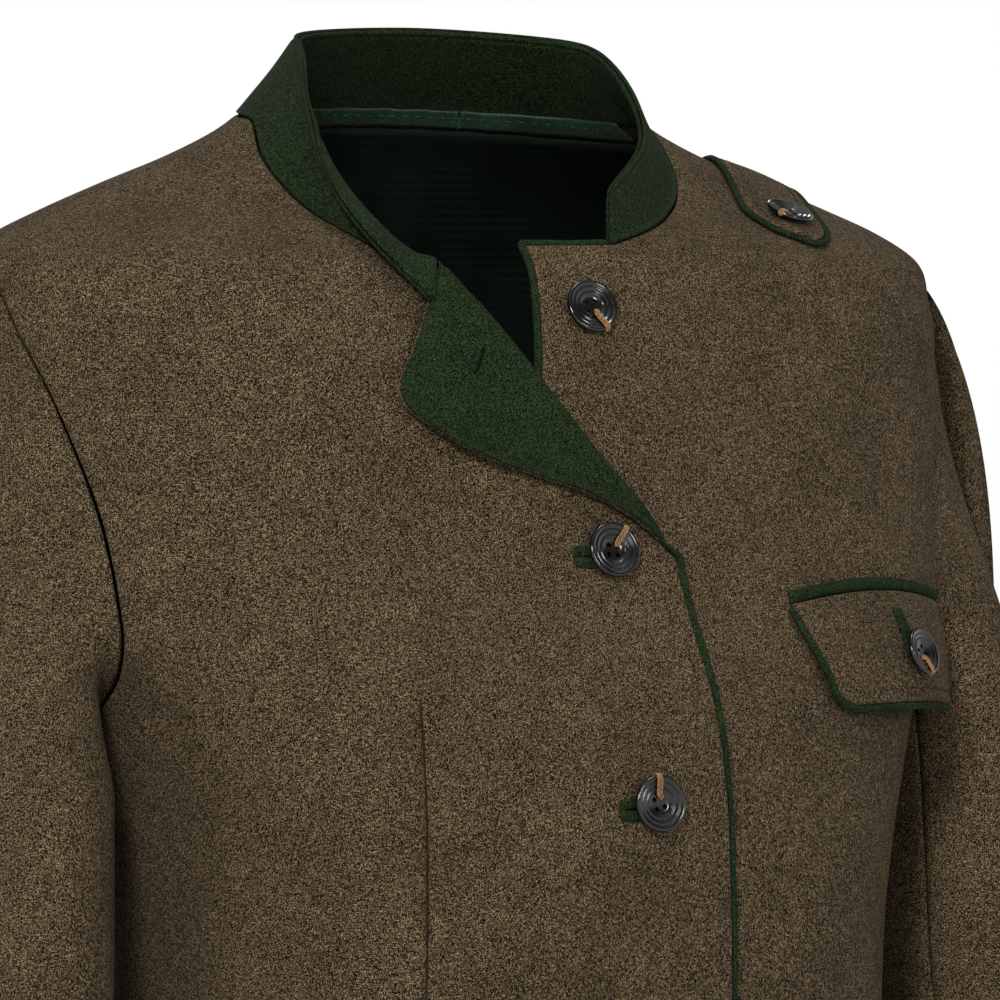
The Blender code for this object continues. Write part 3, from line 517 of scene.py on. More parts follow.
def front_place(x, z):
    """The (angle, z) of the front point at the given x and z."""
    x, z = np.broadcast_arrays(np.asarray(x, float), np.asarray(z, float))
    width = smooth_column(RINGS, 1, z)
    front = smooth_column(RINGS, 2, z)
    power = smooth_column(RINGS, 4, z)
    share = np.clip(1 - np.abs(x / width) ** power, 0, 1)
    return np.stack([np.arctan2(x, front * share ** (1 / power)), z], axis=-1)


def resample(points, count):
    """Points evenly spaced along a polyline of (angle, z) places, by length on the torso."""
    points = np.asarray(points, float)
    length = run_length(torso(points))
    at = np.linspace(0, length[-1], count)
    return np.stack([np.interp(at, length, points[:, k]) for k in range(2)], axis=-1)


def joined(*stretches):
    """Stretches of a boundary in one list, without the repeated corner places."""
    parts = [stretches[0]] + [stretch[1:] for stretch in stretches[1:]]
    return np.concatenate(parts)


def armhole(side, front, count):
    """Armhole from the underarm up to the shoulder point, on the front or the back."""
    t = np.linspace(1, 0, ARMHOLE_STEPS)
    z = SHOULDER_POINT_Z + (UNDERARM_Z - SHOULDER_POINT_Z) * t
    if front:
        turn = math.pi * t**2.4
        power = np.where(turn < math.pi / 2, 0.28, 0.62)
        angle = math.pi / 2 - ARMHOLE_FRONT * np.sin(turn) ** power
    else:
        angle = math.pi / 2 + ARMHOLE_BACK * np.sin(math.pi * t**1.5) ** 0.6
    return resample(np.stack([side * angle, z], axis=-1), count)


def side_seam(side, count):
    z = np.linspace(HEM_Z, UNDERARM_Z, count)
    return np.stack([np.full(count, side * math.pi / 2), z], axis=-1)


def inset_angle(places, distance):
    """Places turned by a distance in millimetres around the torso."""
    reach = np.linalg.norm(torso(places)[..., :2] - [0, RING_CENTRE_Y], axis=-1)
    moved = places.copy()
    moved[..., 0] += distance / reach
    return moved


def neckline(table, count):
    rows = np.array(table, float)
    points = curve_through(rows, np.linspace(0, len(rows) - 1, 80))
    return resample(front_place(points[:, 0], points[:, 1]), count)


def centre_x(z):
    return CENTRE_DRIFT * smooth_step((DRIFT_FROM_Z - z) / DRIFT_LENGTH)


def right_edge(high, count):
    """The right front's vertical edge from the hem up to z high."""
    z = np.linspace(HEM_Z, high, count)
    return front_place(centre_x(z) + RIGHT_OVERLAP, z)


def left_edge_x(z):
    """The left front's edge, cut back a little towards its top corner."""
    cut = LEFT_CORNER_CUT * smooth_step((z - CORNER_CUT_FROM_Z) / (FRONT_TOP_Z - CORNER_CUT_FROM_Z))
    return centre_x(z) - LEFT_OVERLAP + cut


def left_edge(count):
    z = np.linspace(HEM_Z, FRONT_TOP_Z, count)
    return front_place(left_edge_x(z), z)


def top_edge(count):
    """The left front's short top edge, from its corner to the collar's end."""
    x = np.linspace(LEFT_CORNER_CUT - LEFT_OVERLAP, LEFT_NECK[0][0], count)
    return front_place(x, np.full(count, FRONT_TOP_Z))


def neck_height(turn):
    """Height of the neck seam at a turn from the centre back."""
    return NECK_POINT_Z + (BACK_NECK_Z - NECK_POINT_Z) * np.cos(turn)


def back_neckline(side, count):
    """From the centre back round to the shoulder's inner end."""
    turn = np.linspace(math.pi / 2, 0, count)
    z = NECK_POINT_Z + (BACK_NECK_Z - NECK_POINT_Z) * np.sin(turn)
    return np.stack([side * (math.pi / 2 + turn), z], axis=-1)


def between(left, right, columns):
    t = np.linspace(0, 1, columns + 1)[None, :, None]
    return left[:, None, :] * (1 - t) + right[:, None, :] * t


def on_front(places):
    return np.where(np.cos(places[..., 0]) > 0, 1.0, 0.0)


def right_front_lift(places):
    """How far the right front stands off the torso where it laps over the left one."""
    points = torso(places)
    x = points[..., 0] - centre_x(points[..., 2])
    return FRONT_LIFT * smooth_step((x - LIFT_FROM_X) / LIFT_WIDTH) * on_front(places)


def panel_places(left, right, left_turn, right_turn):
    """A panel's grid of places, with its seams pulled in by half a seam gap."""
    places = between(left, right, PANEL_COLUMNS)
    places[:, -1] = inset_angle(places[:, -1], right_turn * SEAM_GAP / 2)
    places[-1] = inset_angle(places[-1], right_turn * SEAM_GAP / 2)
    if left_turn:
        places[:, 0] = inset_angle(places[:, 0], left_turn * SEAM_GAP / 2)
    return places


def roll_line(count):
    """The lapel's roll line in (x, z) from the neck end down to the break, gently bowed."""
    start = np.array(RIGHT_NECK[0], float)
    end = np.array([centre_x(BREAK_Z) + RIGHT_OVERLAP, BREAK_Z])
    t = np.linspace(0, 1, count)[:, None]
    along = (end - start) / np.linalg.norm(end - start)
    outward = np.array([-along[1], along[0]])
    return start * (1 - t) + end * t + ROLL_BOW * np.sin(math.pi * t) * outward


def lapel_outline(count):
    """Outer ends of the lapel's cross lines in (x, z), from its corner to the break."""
    corner = np.array(LAPEL_CORNER, float)
    end = np.array([centre_x(BREAK_Z) + RIGHT_OVERLAP, BREAK_Z])
    t = np.linspace(0, 1, count)[:, None]
    along = (end - corner) / np.linalg.norm(end - corner)
    outward = np.array([along[1], -along[0]])
    sway = LAPEL_SWAY * np.sin(2 * math.pi * t) * outward
    return corner * (1 - t) + end * t + sway


def armhole_loop(side, w):
    """Places round the armhole; w is 0 at the shoulder, pi at the underarm, front first."""
    front = armhole(side, True, LOOP_STEPS)[::-1]
    behind = armhole(side, False, LOOP_STEPS)
    loop = joined(front, behind)
    loop[:, 0] = np.unwrap(loop[:, 0])
    at = np.mod(w, 2 * math.pi) / (2 * math.pi) * (len(loop) - 1)
    return np.stack([np.interp(at, np.arange(len(loop)), loop[:, k]) for k in range(2)], axis=-1)


def sleeve_ring(side, z, w):
    x, y, across, deep = (smooth_column(SLEEVE_RINGS, k, z) for k in (1, 2, 3, 4))
    ring_x = side * (x + across * np.cos(w))
    return np.stack([ring_x, y - deep * np.sin(w), z + 0 * w], axis=-1)


def sleeve_start_at(side, w):
    """The armhole seam: points, outward cap direction and cloth normal."""
    place = armhole_loop(side, w)
    ahead, behind = armhole_loop(side, w + 0.05), armhole_loop(side, w - 0.05)
    normal = torso_normal(place)
    run = unit(torso(ahead) - torso(behind))
    outward = unit(np.cross(normal, run)) * side
    return np.concatenate([torso(place), outward, normal], axis=-1)


START_TURNS = np.linspace(0, 2 * math.pi, 721)
STARTS = {}


def sleeve_start(side, w):
    """The seam's points, outward directions and normals at w, from a table made once a side."""
    if side not in STARTS:
        STARTS[side] = sleeve_start_at(side, START_TURNS)
    turn = np.mod(w, 2 * math.pi)
    row = np.stack([np.interp(turn, START_TURNS, column) for column in STARTS[side].T], axis=-1)
    return row[..., :3], unit(row[..., 3:6]), unit(row[..., 6:])


def sleeve(side, v, w):
    """Sleeve surface: v from 0 at the armhole to 1 at the biceps and 2 at the cuff."""
    v, w = np.broadcast_arrays(np.asarray(v, float), np.asarray(w, float))
    start, outward, normal = sleeve_start(side, w)
    start = start + outward * SLEEVE_GAP * (1 + 1.5 * np.sin(w / 2)[..., None] ** 2)
    top, low = SLEEVE_RINGS[0][0], SLEEVE_RINGS[-1][0]
    end = sleeve_ring(side, np.full(w.shape, float(top)), w)
    down = unit(sleeve_ring(side, np.full(w.shape, top - 5.0), w) - end)
    length = np.linalg.norm(end - start, axis=-1, keepdims=True)
    direct = CAP_STRAIGHT * np.abs(np.sin(w / 2))[..., None]
    lead = unit(outward * (1 - direct) + unit(end - start) * direct + CAP_BULGE * normal * direct)
    lead = lead * length * (1 - CAP_EASE * np.cos(w / 2)[..., None] ** 2)
    t = np.clip(v, 0, 1)[..., None]
    cap = hermite(t, start, lead, end, down * length)
    z = top + (low - top) * np.clip(v - 1, 0, 1)
    return np.where((v > 1)[..., None], sleeve_ring(side, z, w), cap)


def neck_ring():
    """Places of the neckline from the left front end round the back to the right front end."""
    around = [
        neckline(LEFT_NECK, NECK_ROWS),
        back_neckline(1, NECK_ROWS)[::-1],
        back_neckline(-1, NECK_ROWS),
        neckline(RIGHT_NECK, NECK_ROWS)[::-1],
    ]
    for stretch in around[2:]:
        stretch[:, 0] += 2 * math.pi
    around[3] = around[3][:-4]
    return joined(*around)


def collar_sections():
    """Mid-line points and normals of the collar, a section for each place on the neckline."""
    places = neck_ring()
    base, skin = torso(places), torso_normal(places)
    run = unit(np.gradient(base, axis=0))
    flat = unit(run * [1, 1, 0])
    outward = np.stack([-flat[:, 1], flat[:, 0], 0 * flat[:, 0]], axis=-1)
    outward *= -np.sign(np.sum(outward * ([0, RING_CENTRE_Y, 0] - base), axis=-1, keepdims=True))
    rise = np.cross(skin, run)
    rise *= -np.sign(np.sum(rise * outward, axis=-1, keepdims=True))
    length = run_length(base)
    from_right = length[-1] - length
    height = np.minimum(
        smooth_column(COLLAR_LEFT_HEIGHT, 1, length), smooth_column(COLLAR_RIGHT_HEIGHT, 1, from_right)
    )
    lean = -smooth_column(COLLAR_LEAN, 1, np.minimum(length, from_right))
    fall = COLLAR_RIGHT_FALL * smooth_step(1 - from_right / COLLAR_ROLL_REACH)
    fold = smooth_step((1 - from_right / COLLAR_ROLL_REACH) / COLLAR_ROLL_ONSET)
    start = np.arctan2(np.sum(rise * outward, axis=-1), rise[:, 2])
    steps = COLLAR_STEPS
    share = (np.arange(steps) + 0.5) / steps
    path = height[:, None] * share
    stand = start[:, None] + (lean - start)[:, None] * smooth_step(path / COLLAR_BASE_BEND)
    target = (start + math.pi - 0.1)[:, None]
    rolled = smooth_step((path - (height - fall)[:, None]) / COLLAR_ROLL_LENGTH + 0.5) * fold[:, None]
    angle = stand + (target - stand) * rolled
    step = height[:, None] / steps
    moves = (
        np.sin(angle)[..., None] * outward[:, None] + np.cos(angle)[..., None] * [0, 0, 1]
    ) * step[..., None]
    mid = base - skin * CLOTH / 2 + rise * NECK_GAP
    points = np.concatenate([mid[:, None], mid[:, None] + np.cumsum(moves, axis=1)], axis=1)
    along = np.gradient(points, axis=1)
    across = np.broadcast_to(run[:, None], along.shape)
    normal = unit(np.cross(along, across))
    normal *= np.sign(np.sum(normal[:, :1] * skin[:, None], axis=-1, keepdims=True))
    return points, normal


def beside(points, normals, beyond):
    """A line of points moved sideways in the cloth past an edge, mitred at its corners."""
    runs = unit(np.diff(points, axis=0))
    before = np.cross(normals, np.concatenate([runs[:1], runs]))
    after = np.cross(normals, np.concatenate([runs, runs[-1:]]))
    mitre = unit(before) + unit(after)
    return points + mitre * 2 * beyond / np.sum(mitre**2, axis=-1, keepdims=True)


def flap_outline(share, depth):
    """The flap's (x, z) places: share 0 at its front end, depth 0 at the welt, 1 at the foot."""
    top = np.array(FLAP_TOP[0]) * (1 - share) + np.array(FLAP_TOP[1]) * share
    top = top + FLAP_ARCH * np.sin(math.pi * share) * [0, 1]
    foot = np.array(FLAP_FOOT[0]) * (1 - share) + np.array(FLAP_FOOT[1]) * share
    from_end = np.minimum(share, 1 - share) * (FLAP_FOOT[1][0] - FLAP_FOOT[0][0])
    into = np.clip(1 - from_end / FLAP_CORNER, 0, 1)
    foot = foot + FLAP_CORNER * (1 - np.sqrt(1 - into**2)) * [0, 1]
    return top * (1 - depth) + foot * depth


def flap_surface(share, depth):
    """Outer points and normals of the flap, which swings away from the chest at its foot."""
    x, z = np.moveaxis(flap_outline(share, depth), -1, 0)
    places = front_place(x, z)
    swing = FLAP_SWING_FRONT + FLAP_SWING_SIDE * share**1.5
    stand = LAID_GAP + CLOTH + swing * depth**1.2
    return torso(places) + torso_normal(places) * stand


def flap_normal(share, depth):
    around = flap_surface(share + 0.02, depth) - flap_surface(share - 0.02, depth)
    down = flap_surface(share, depth + 0.03) - flap_surface(share, depth - 0.03)
    return unit(np.cross(down, around))


def shoulder_place(x, y):
    """The place on the top of the torso at a plan position, found by halving."""
    low, high = np.full(np.shape(x), -150.0), np.full(np.shape(x), 6.0)
    forward = RING_CENTRE_Y - y
    for _ in range(40):
        z = (low + high) / 2
        width, power = smooth_column(RINGS, 1, z), smooth_column(RINGS, 4, z)
        depth = np.where(forward > 0, smooth_column(RINGS, 2, z), smooth_column(RINGS, 3, z))
        outside = np.abs(x / width) ** power + np.abs(forward / depth) ** power > 1
        high = np.where(outside, z, high)
        low = np.where(outside, low, z)
    return np.stack([np.arctan2(x, forward), z], axis=-1)


def tab_places(along, across):
    """Places of the epaulette: along 0 to 1 from its root to its tip, across -1 to 1."""
    root, tip = np.array(TAB_ROOT, float), np.array(TAB_TIP, float)
    aside = unit(np.array([root[1] - tip[1], tip[0] - root[0]]))
    into = np.clip((along - TAB_SQUARE) / (1.02 - TAB_SQUARE), 0, 1)
    half = TAB_HALF_WIDTH * np.sqrt(1 - into**2)
    plan = root + (tip - root) * along[..., None] + aside * (half * across)[..., None]
    return shoulder_place(plan[..., 0], plan[..., 1])


# ---------------------------------------------------------------- shells

def with_edge_rows(grid, surface, distances):
    """A grid of places with rows added near its first row, at distances in millimetres."""
    ends = surface(grid[:2])
    spacing = np.linalg.norm(ends[1] - ends[0], axis=-1)
    count = len(distances)
    added = []
    for number, distance in enumerate(distances):
        share = np.minimum(distance / np.maximum(spacing, 1e-6), (number + 1) / (count + 1))
        added.append(grid[0] + (grid[1] - grid[0]) * share[:, None])
    return np.concatenate([grid[:1], np.array(added), grid[1:]])


def turned(grid, side):
    """The grid with the named side as its first row; turning it again undoes it."""
    if side == "last_row":
        return grid[::-1]
    if side == "first_column":
        return np.swapaxes(grid, 0, 1)
    if side == "last_column":
        return np.swapaxes(grid[:, ::-1], 0, 1)
    return grid


def turned_back(grid, side):
    if side == "last_column":
        return np.swapaxes(grid, 0, 1)[:, ::-1]
    return turned(grid, side)


def side_distance(points, side):
    """Distance of each point from a side of its grid, along the grid's lines."""
    run = turned(points, side)
    steps = np.linalg.norm(np.diff(run, axis=0), axis=-1)
    distance = np.concatenate([np.zeros((1, run.shape[1])), np.cumsum(steps, axis=0)])
    return turned_back(distance[..., None], side)[..., 0]


def rounding(distance, reach, drop):
    into = 1 - np.clip(distance / reach, 0, 1)
    return drop * (1 - np.sqrt(1 - into**2))


def sewn_sheet(grid, surface, normals, thickness, edges, grooves=()):
    """Outer and inner points of cloth over a grid of places, with rounded edges and grooves.

    edges maps a side to its edge row; grooves lists (side, distance, half width, depth).
    """
    for side, (reach, _, _) in edges.items():
        spots = [reach * step for step in EDGE_STEPS]
        for groove in grooves:
            if groove[0] == side:
                spots += [groove[1] + groove[2] * step for step in GROOVE_STEPS]
        grid = turned_back(with_edge_rows(turned(grid, side), surface, sorted(spots)), side)
    outer = surface(grid)
    normal = normals(grid)
    inner = outer - normal * thickness
    drop_outside = np.zeros(outer.shape[:2])
    drop_inside = np.zeros(outer.shape[:2])
    for side, (reach, outside, inside) in edges.items():
        distance = side_distance(outer, side)
        drop_outside = np.maximum(drop_outside, rounding(distance, reach, outside))
        drop_inside = np.maximum(drop_inside, rounding(distance, reach, inside))
    for side, place, half_width, depth in grooves:
        drop_outside = drop_outside + depth * bell(side_distance(outer, side) - place, half_width)
    return outer - normal * drop_outside[..., None], inner + normal * drop_inside[..., None]


def placed(name, data):
    """A new object of some data in the scene."""
    made = bpy.data.objects.new(name, data)
    bpy.context.scene.collection.objects.link(made)
    return made


def link(name, mesh, surface):
    """An object of a mesh, smooth, in the scene and riding on the jacket's one body."""
    body = bmesh.new()
    body.from_mesh(mesh)
    bmesh.ops.remove_doubles(body, verts=body.verts, dist=MERGE_DISTANCE * MM)
    bmesh.ops.recalc_face_normals(body, faces=body.faces)
    body.to_mesh(mesh)
    body.free()
    mesh.shade_smooth()
    mesh.materials.append(surface)
    made = placed(name, mesh)
    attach(made, "root")
    return made


def mesh_of(name, points, faces):
    mesh = bpy.data.meshes.new(name)
    mesh.from_pydata(np.asarray(points) * MM, [], faces)
    return mesh


def shell(name, sheets, surface):
    """One piece of closed shells, each from grids of outer and inner points."""
    points, faces, start = [], [], 0
    for outer, inner in sheets:
        rows, columns = outer.shape[:2]
        count = rows * columns
        index = np.arange(count).reshape(rows, columns) + start
        quads = np.stack(
            [index[:-1, :-1], index[:-1, 1:], index[1:, 1:], index[1:, :-1]], axis=-1
        ).reshape(-1, 4)
        border = np.concatenate([index[0, :-1], index[:-1, -1], index[-1, :0:-1], index[:0:-1, 0]])
        after = np.roll(border, -1)
        rim = np.stack([border, border + count, after + count, after], axis=-1)
        faces += quads.tolist() + (quads[:, ::-1] + count).tolist() + rim.tolist()
        points += [outer.reshape(-1, 3), inner.reshape(-1, 3)]
        start += 2 * count
    return link(name, mesh_of(name, np.concatenate(points), faces), surface)


def ring_faces(rings, steps, start):
    """Faces of a closed tube of rings, with a flat cap at each end."""
    index = np.arange(rings * steps).reshape(rings, steps) + start
    after = np.roll(index, -1, axis=1)
    quads = np.stack([index[:-1], after[:-1], after[1:], index[1:]], axis=-1).reshape(-1, 4)
    return quads.tolist() + [index[0, ::-1].tolist(), index[-1].tolist()]


def tube_points(line, normals, half_width, half_height, steps):
    """Rings of an oval tube along a line, rounded off at both ends."""
    line = np.asarray(line, float)
    run = unit(np.gradient(line, axis=0))
    aside = unit(np.cross(normals, run))
    upward = np.cross(run, aside)
    length = run_length(line)
    from_end = np.minimum(length, length[-1] - length)
    half_width = np.broadcast_to(half_width, len(line))
    half_height = np.broadcast_to(half_height, len(line))
    closing = np.sqrt(np.clip(1 - (1 - np.clip(from_end / half_width, 0.02, 1)) ** 2, 0, 1))
    turn = np.linspace(0, 2 * math.pi, steps, endpoint=False)
    across = (half_width * closing)[:, None] * np.cos(turn)
    raised = (half_height * closing)[:, None] * np.sin(turn)
    return line[:, None] + aside[:, None] * across[..., None] + upward[:, None] * raised[..., None]


def tubes(name, runs, surface, steps=10):
    """One piece of tubes; a run is (line, normals, half width, half height)."""
    points, faces, start = [], [], 0
    for line, normals, half_width, half_height in runs:
        rings = tube_points(line, normals, half_width, half_height, steps)
        faces += ring_faces(len(rings), steps, start)
        points.append(rings.reshape(-1, 3))
        start += len(rings) * steps
    return link(name, mesh_of(name, np.concatenate(points), faces), surface)


def along(line, distances):
    """Points of a line of values at distances along its first three columns."""
    line = np.asarray(line, float)
    length = run_length(line[:, :3])
    return np.stack([np.interp(distances, length, column) for column in line.T], axis=-1)


def line_length(line):
    return float(np.sum(np.linalg.norm(np.diff(line, axis=0), axis=1)))


def stitch_runs(line, normals, stitch, pitch, radius, sink):
    """Runs of short threads along a seam line, each sinking into the cloth at its ends."""
    both = np.concatenate([line, normals], axis=1)
    chance = np.random.default_rng(len(line))
    runs = []
    for start in np.arange(pitch / 2, line_length(line) - stitch, pitch):
        spots = start + np.linspace(0, stitch, 5) + chance.normal(0, STITCH_SCATTER)
        part = along(both, spots)
        normal = unit(part[:, 3:])
        height = radius * np.sin(np.linspace(0, math.pi, 5)) * STITCH_LIFT - sink
        runs.append((part[:, :3] + normal * height[:, None], normal, radius, radius))
    return runs


# ---------------------------------------------------------------- panels

def panel_edges(left_edge_kind):
    return {
        "first_row": FREE, "last_row": SEAM, "first_column": left_edge_kind, "last_column": SEAM,
    }


def side_and_armhole(side, front, count):
    return joined(side_seam(side, SIDE_ROWS), armhole(side, front, count - SIDE_ROWS + 1))


def front_left():
    left = joined(left_edge(LEFT_EDGE_ROWS), top_edge(TOP_EDGE_ROWS), neckline(LEFT_NECK, NECK_ROWS))
    right = side_and_armhole(1, True, len(left))
    places = panel_places(left, right, 0, -1)
    sheet = sewn_sheet(places, torso, torso_normal, CLOTH, panel_edges(FREE))
    return shell("cloth_front_left", [sheet], LODEN)


def dart_place(z):
    """The place of the dart on the right front at a height."""
    x = DART_X[0] + (DART_X[1] - DART_X[0]) * (z - DART_TOP) / (HEM_Z - DART_TOP)
    return front_place(x, z)


def with_dart_columns(places):
    """The right front's grid with a column on its dart and narrow cells beside it."""
    first, last = places[:, 0], places[:, -1]
    share = np.full(len(places), 0.5)
    for _ in range(6):
        z = first[:, 1] + (last[:, 1] - first[:, 1]) * share
        share = np.clip((dart_place(z)[..., 0] - first[:, 0]) / (last[:, 0] - first[:, 0]), 0.2, 0.8)
    reach = np.linalg.norm(torso_form(last) - torso_form(first), axis=-1)
    band = DART_BESIDE[-1] / reach
    before = np.linspace(0, 1, DART_CELLS + 1)[None, :-1] * (share - band)[:, None]
    after = 1 - np.linspace(1, 0, DART_CELLS + 1)[None, 1:] * (1 - share - band)[:, None]
    middle = share[:, None] + np.array(DART_BESIDE) / reach[:, None]
    t = np.concatenate([before, middle, after], axis=1)[..., None]
    return first[:, None] * (1 - t) + last[:, None] * t


def right_skin(places):
    lift = right_front_lift(places) - dart_dip(places)
    return torso(places) + torso_normal(places) * lift[..., None]


def dart_dip(places):
    """Depth of the fine trough along the dart, below its top end."""
    form = torso_form(places)
    away = np.abs(form[..., 0] - torso_form(dart_place(places[..., 1]))[..., 0])
    below = smooth_step((DART_TOP - places[..., 1]) / 25)
    return DART_DEPTH * bell(away, DART_HALF_WIDTH) * below * on_front(places)


def front_right():
    """The right front and its turned-back corner, two shells that meet along the roll line."""
    roll = roll_line(ROLL_ROWS)[::-1]
    left = joined(
        right_edge(BREAK_Z, RIGHT_EDGE_ROWS),
        front_place(roll[:, 0], roll[:, 1]),
        neckline(RIGHT_NECK, NECK_ROWS),
    )
    right = side_and_armhole(-1, True, len(left))
    places = panel_places(left, right, 0, 1)
    places = with_dart_columns(places)
    panel = sewn_sheet(places, right_skin, torso_normal, CLOTH, panel_edges(FREE))
    turned_corner = lapel_sheet(ROLL_RADIUS, CLOTH, np.linspace(0, 1, 13), 0)
    return shell("cloth_front_right", [panel, turned_corner], LODEN)


def back(side, name):
    centre = np.stack(
        [np.full(BACK_ROWS, side * math.pi), np.linspace(HEM_Z, BACK_NECK_Z, BACK_ROWS)], axis=-1
    )
    left = joined(centre, back_neckline(side, NECK_ROWS))
    right = side_and_armhole(side, False, len(left))
    places = panel_places(left, right, -side, side)
    sheet = sewn_sheet(places, torso, torso_normal, CLOTH, panel_edges(SEAM))
    return shell(name, [sheet], LODEN)


# ---------------------------------------------------------------- lapel

def over_lapel(distance, share, height, top, rows):
    """Points over the lapel's cross lines: a distance past the roll, or a share of the way.

    top is the share of the first eighth of the rows that keeps clear of the collar's end.
    """
    roll, outline = roll_line(rows), lapel_outline(rows)
    fine = (rows - 1) // 8
    spots = np.arange(rows, dtype=float)
    clear = top * fine * np.clip(1 - spots / fine, 0, 1)
    roll = np.stack([np.interp(spots + clear, spots, roll[:, k]) for k in (0, 1)], axis=-1)
    across = unit(outline - roll + (outline[0] - roll[0]) * 1e-6)
    flat = 1 - (1 - TIP_TAPER) * smooth_step((spots - rows + 1) / TIP_ROWS + 1)
    at = roll + (outline - roll) * share - across * distance * flat[:, None]
    places = front_place(at[:, 0], at[:, 1])
    lift = right_front_lift(front_place(roll[:, 0], roll[:, 1]))
    return torso(places) + torso_normal(places) * (lift + height * flat)[:, None]


def rounded_corner(points, reach):
    """A lapel grid with its outer top corner pulled in to a round one."""
    from_top = side_distance(points, "first_row") / reach
    from_edge = side_distance(points, "last_column") / reach
    pull = CORNER_PULL * np.clip(1 - from_top, 0, 1) ** 2 * np.clip(1 - from_edge, 0, 1) ** 2
    down = unit(np.gradient(points, axis=0))
    back_in = -unit(np.gradient(points, axis=1))
    return points + (down + back_in) * (pull * reach)[..., None]


def lapel_sheet(radius, thickness, turns, top):
    """Near and far points over the roll and out to the lapel's edge, its edge rounded."""
    near, far = [], []
    for turn in turns:
        angle = math.pi * turn
        for points, reach in ((near, radius), (far, radius + thickness)):
            height = ROLL_RADIUS - reach * math.cos(angle)
            points.append(over_lapel(reach * math.sin(angle), 0, height, top, ROLL_ROWS))
    shares = np.concatenate([np.linspace(0, 0.8, 22)[1:], 1 - LAPEL_EDGE_SHARES])
    for share in shares:
        for points, reach in ((near, radius), (far, radius + thickness)):
            points.append(over_lapel(0, share, ROLL_RADIUS + reach, top, ROLL_ROWS))
    near, far = np.stack(near, axis=1), np.stack(far, axis=1)
    near, far = rounded_corner(near, LAPEL_ROUND), rounded_corner(far, LAPEL_ROUND)
    through = unit(far - near)
    from_edge = side_distance(far, "last_column")
    from_top = side_distance(far, "first_row")
    edge = (thickness / 2, thickness * 0.46)
    drop = np.maximum(rounding(from_edge, *edge), rounding(from_top, *edge))
    groove = LAPEL_GROOVE_DEPTH * bell(from_edge - LAPEL_GROOVE, LAPEL_GROOVE_HALF)
    groove = groove * smooth_step((from_top - 1) / 3) * smooth_step(from_edge.max(axis=1) / 12)[:, None]
    top_groove = LAPEL_GROOVE_DEPTH * bell(from_top - LAPEL_GROOVE, LAPEL_GROOVE_HALF)
    groove = np.maximum(groove, top_groove * smooth_step((from_edge - 1) / 3))
    return near + through * drop[..., None], far - through * (drop + groove)[..., None]


def facing_sheet():
    return lapel_sheet(FACING_RADIUS, FELT, FACING_TURNS, FACING_CLEAR)


def lapel_facing():
    return shell("felt_lapel_facing", [facing_sheet()], GREEN_FELT)


# ---------------------------------------------------------------- sleeves

def mirrored(points, side):
    """Points as the left side's creases see them; the right side's are shifted a little."""
    if side > 0:
        return points
    return points * [-1, 1, 1] + MIRROR_SHIFT


def sleeve_skin(side):
    """The sleeve's surface over (v, w) places, with its creases and a soft puff past the seam."""
    def at(grid):
        v, w = grid[..., 0], grid[..., 1]
        form = sleeve(side, v, w)
        height = creases(mirrored(form, side), SLEEVE_CREASES) + unevenness(form * [1, 1, 0.7])
        start = sleeve(side, np.zeros_like(v), w)
        away = np.linalg.norm(form - start, axis=-1)
        high = np.clip(np.cos(w / 2), 0, 1)
        puff = PUFF * high * away / PUFF_REACH * np.exp(1 - away / PUFF_REACH)
        height = (height + puff) * smooth_step(away / SLEEVE_CALM)
        return form + sleeve_normal(side, v, w) * height[..., None]
    return at


def sleeve_normal(side, v, w):
    v_low, v_high = np.maximum(v - 0.01, 0), np.minimum(v + 0.01, 2)
    run = sleeve(side, v_high, w) - sleeve(side, v_low, w)
    around = sleeve(side, v, w + 0.02) - sleeve(side, v, w - 0.02)
    normal = unit(np.cross(around, run)) * side
    blend = smooth_step(v / 0.04)[..., None]
    return unit(normal * blend + sleeve_start(side, w)[2] * (1 - blend))


def sleeve_piece(side, name, first, last, columns):
    v = np.concatenate([np.linspace(0, 1, SLEEVE_CAP_ROWS), np.linspace(1, 2, SLEEVE_ROWS)[1:]])
    trim = SEAM_GAP / 2 / SLEEVE_RADIUS
    w = np.linspace(first + trim, last - trim, columns + 1)
    grid = np.stack(np.meshgrid(v, w, indexing="ij"), axis=-1)
    edges = {"first_row": SEAM, "last_row": FREE, "first_column": SEAM, "last_column": SEAM}
    sheet = sewn_sheet(
        grid, sleeve_skin(side), lambda g: sleeve_normal(side, g[..., 0], g[..., 1]), CLOTH, edges
    )
    return shell(name, [sheet], LODEN)


def sleeves():
    made = {}
    for side, word in ((-1, "right"), (1, "left")):
        upper_start = SLEEVE_BACK_SEAM - 2 * math.pi
        for part, first, last, columns in (
            ("upper", upper_start, SLEEVE_FRONT_SEAM, UPPER_COLUMNS),
            ("under", SLEEVE_FRONT_SEAM, SLEEVE_BACK_SEAM, UNDER_COLUMNS),
        ):
            node = f"sleeve_{word}_{part}"
            made[node] = sleeve_piece(side, "cloth_" + node, first, last, columns)
    return made


# ---------------------------------------------------------------- collar

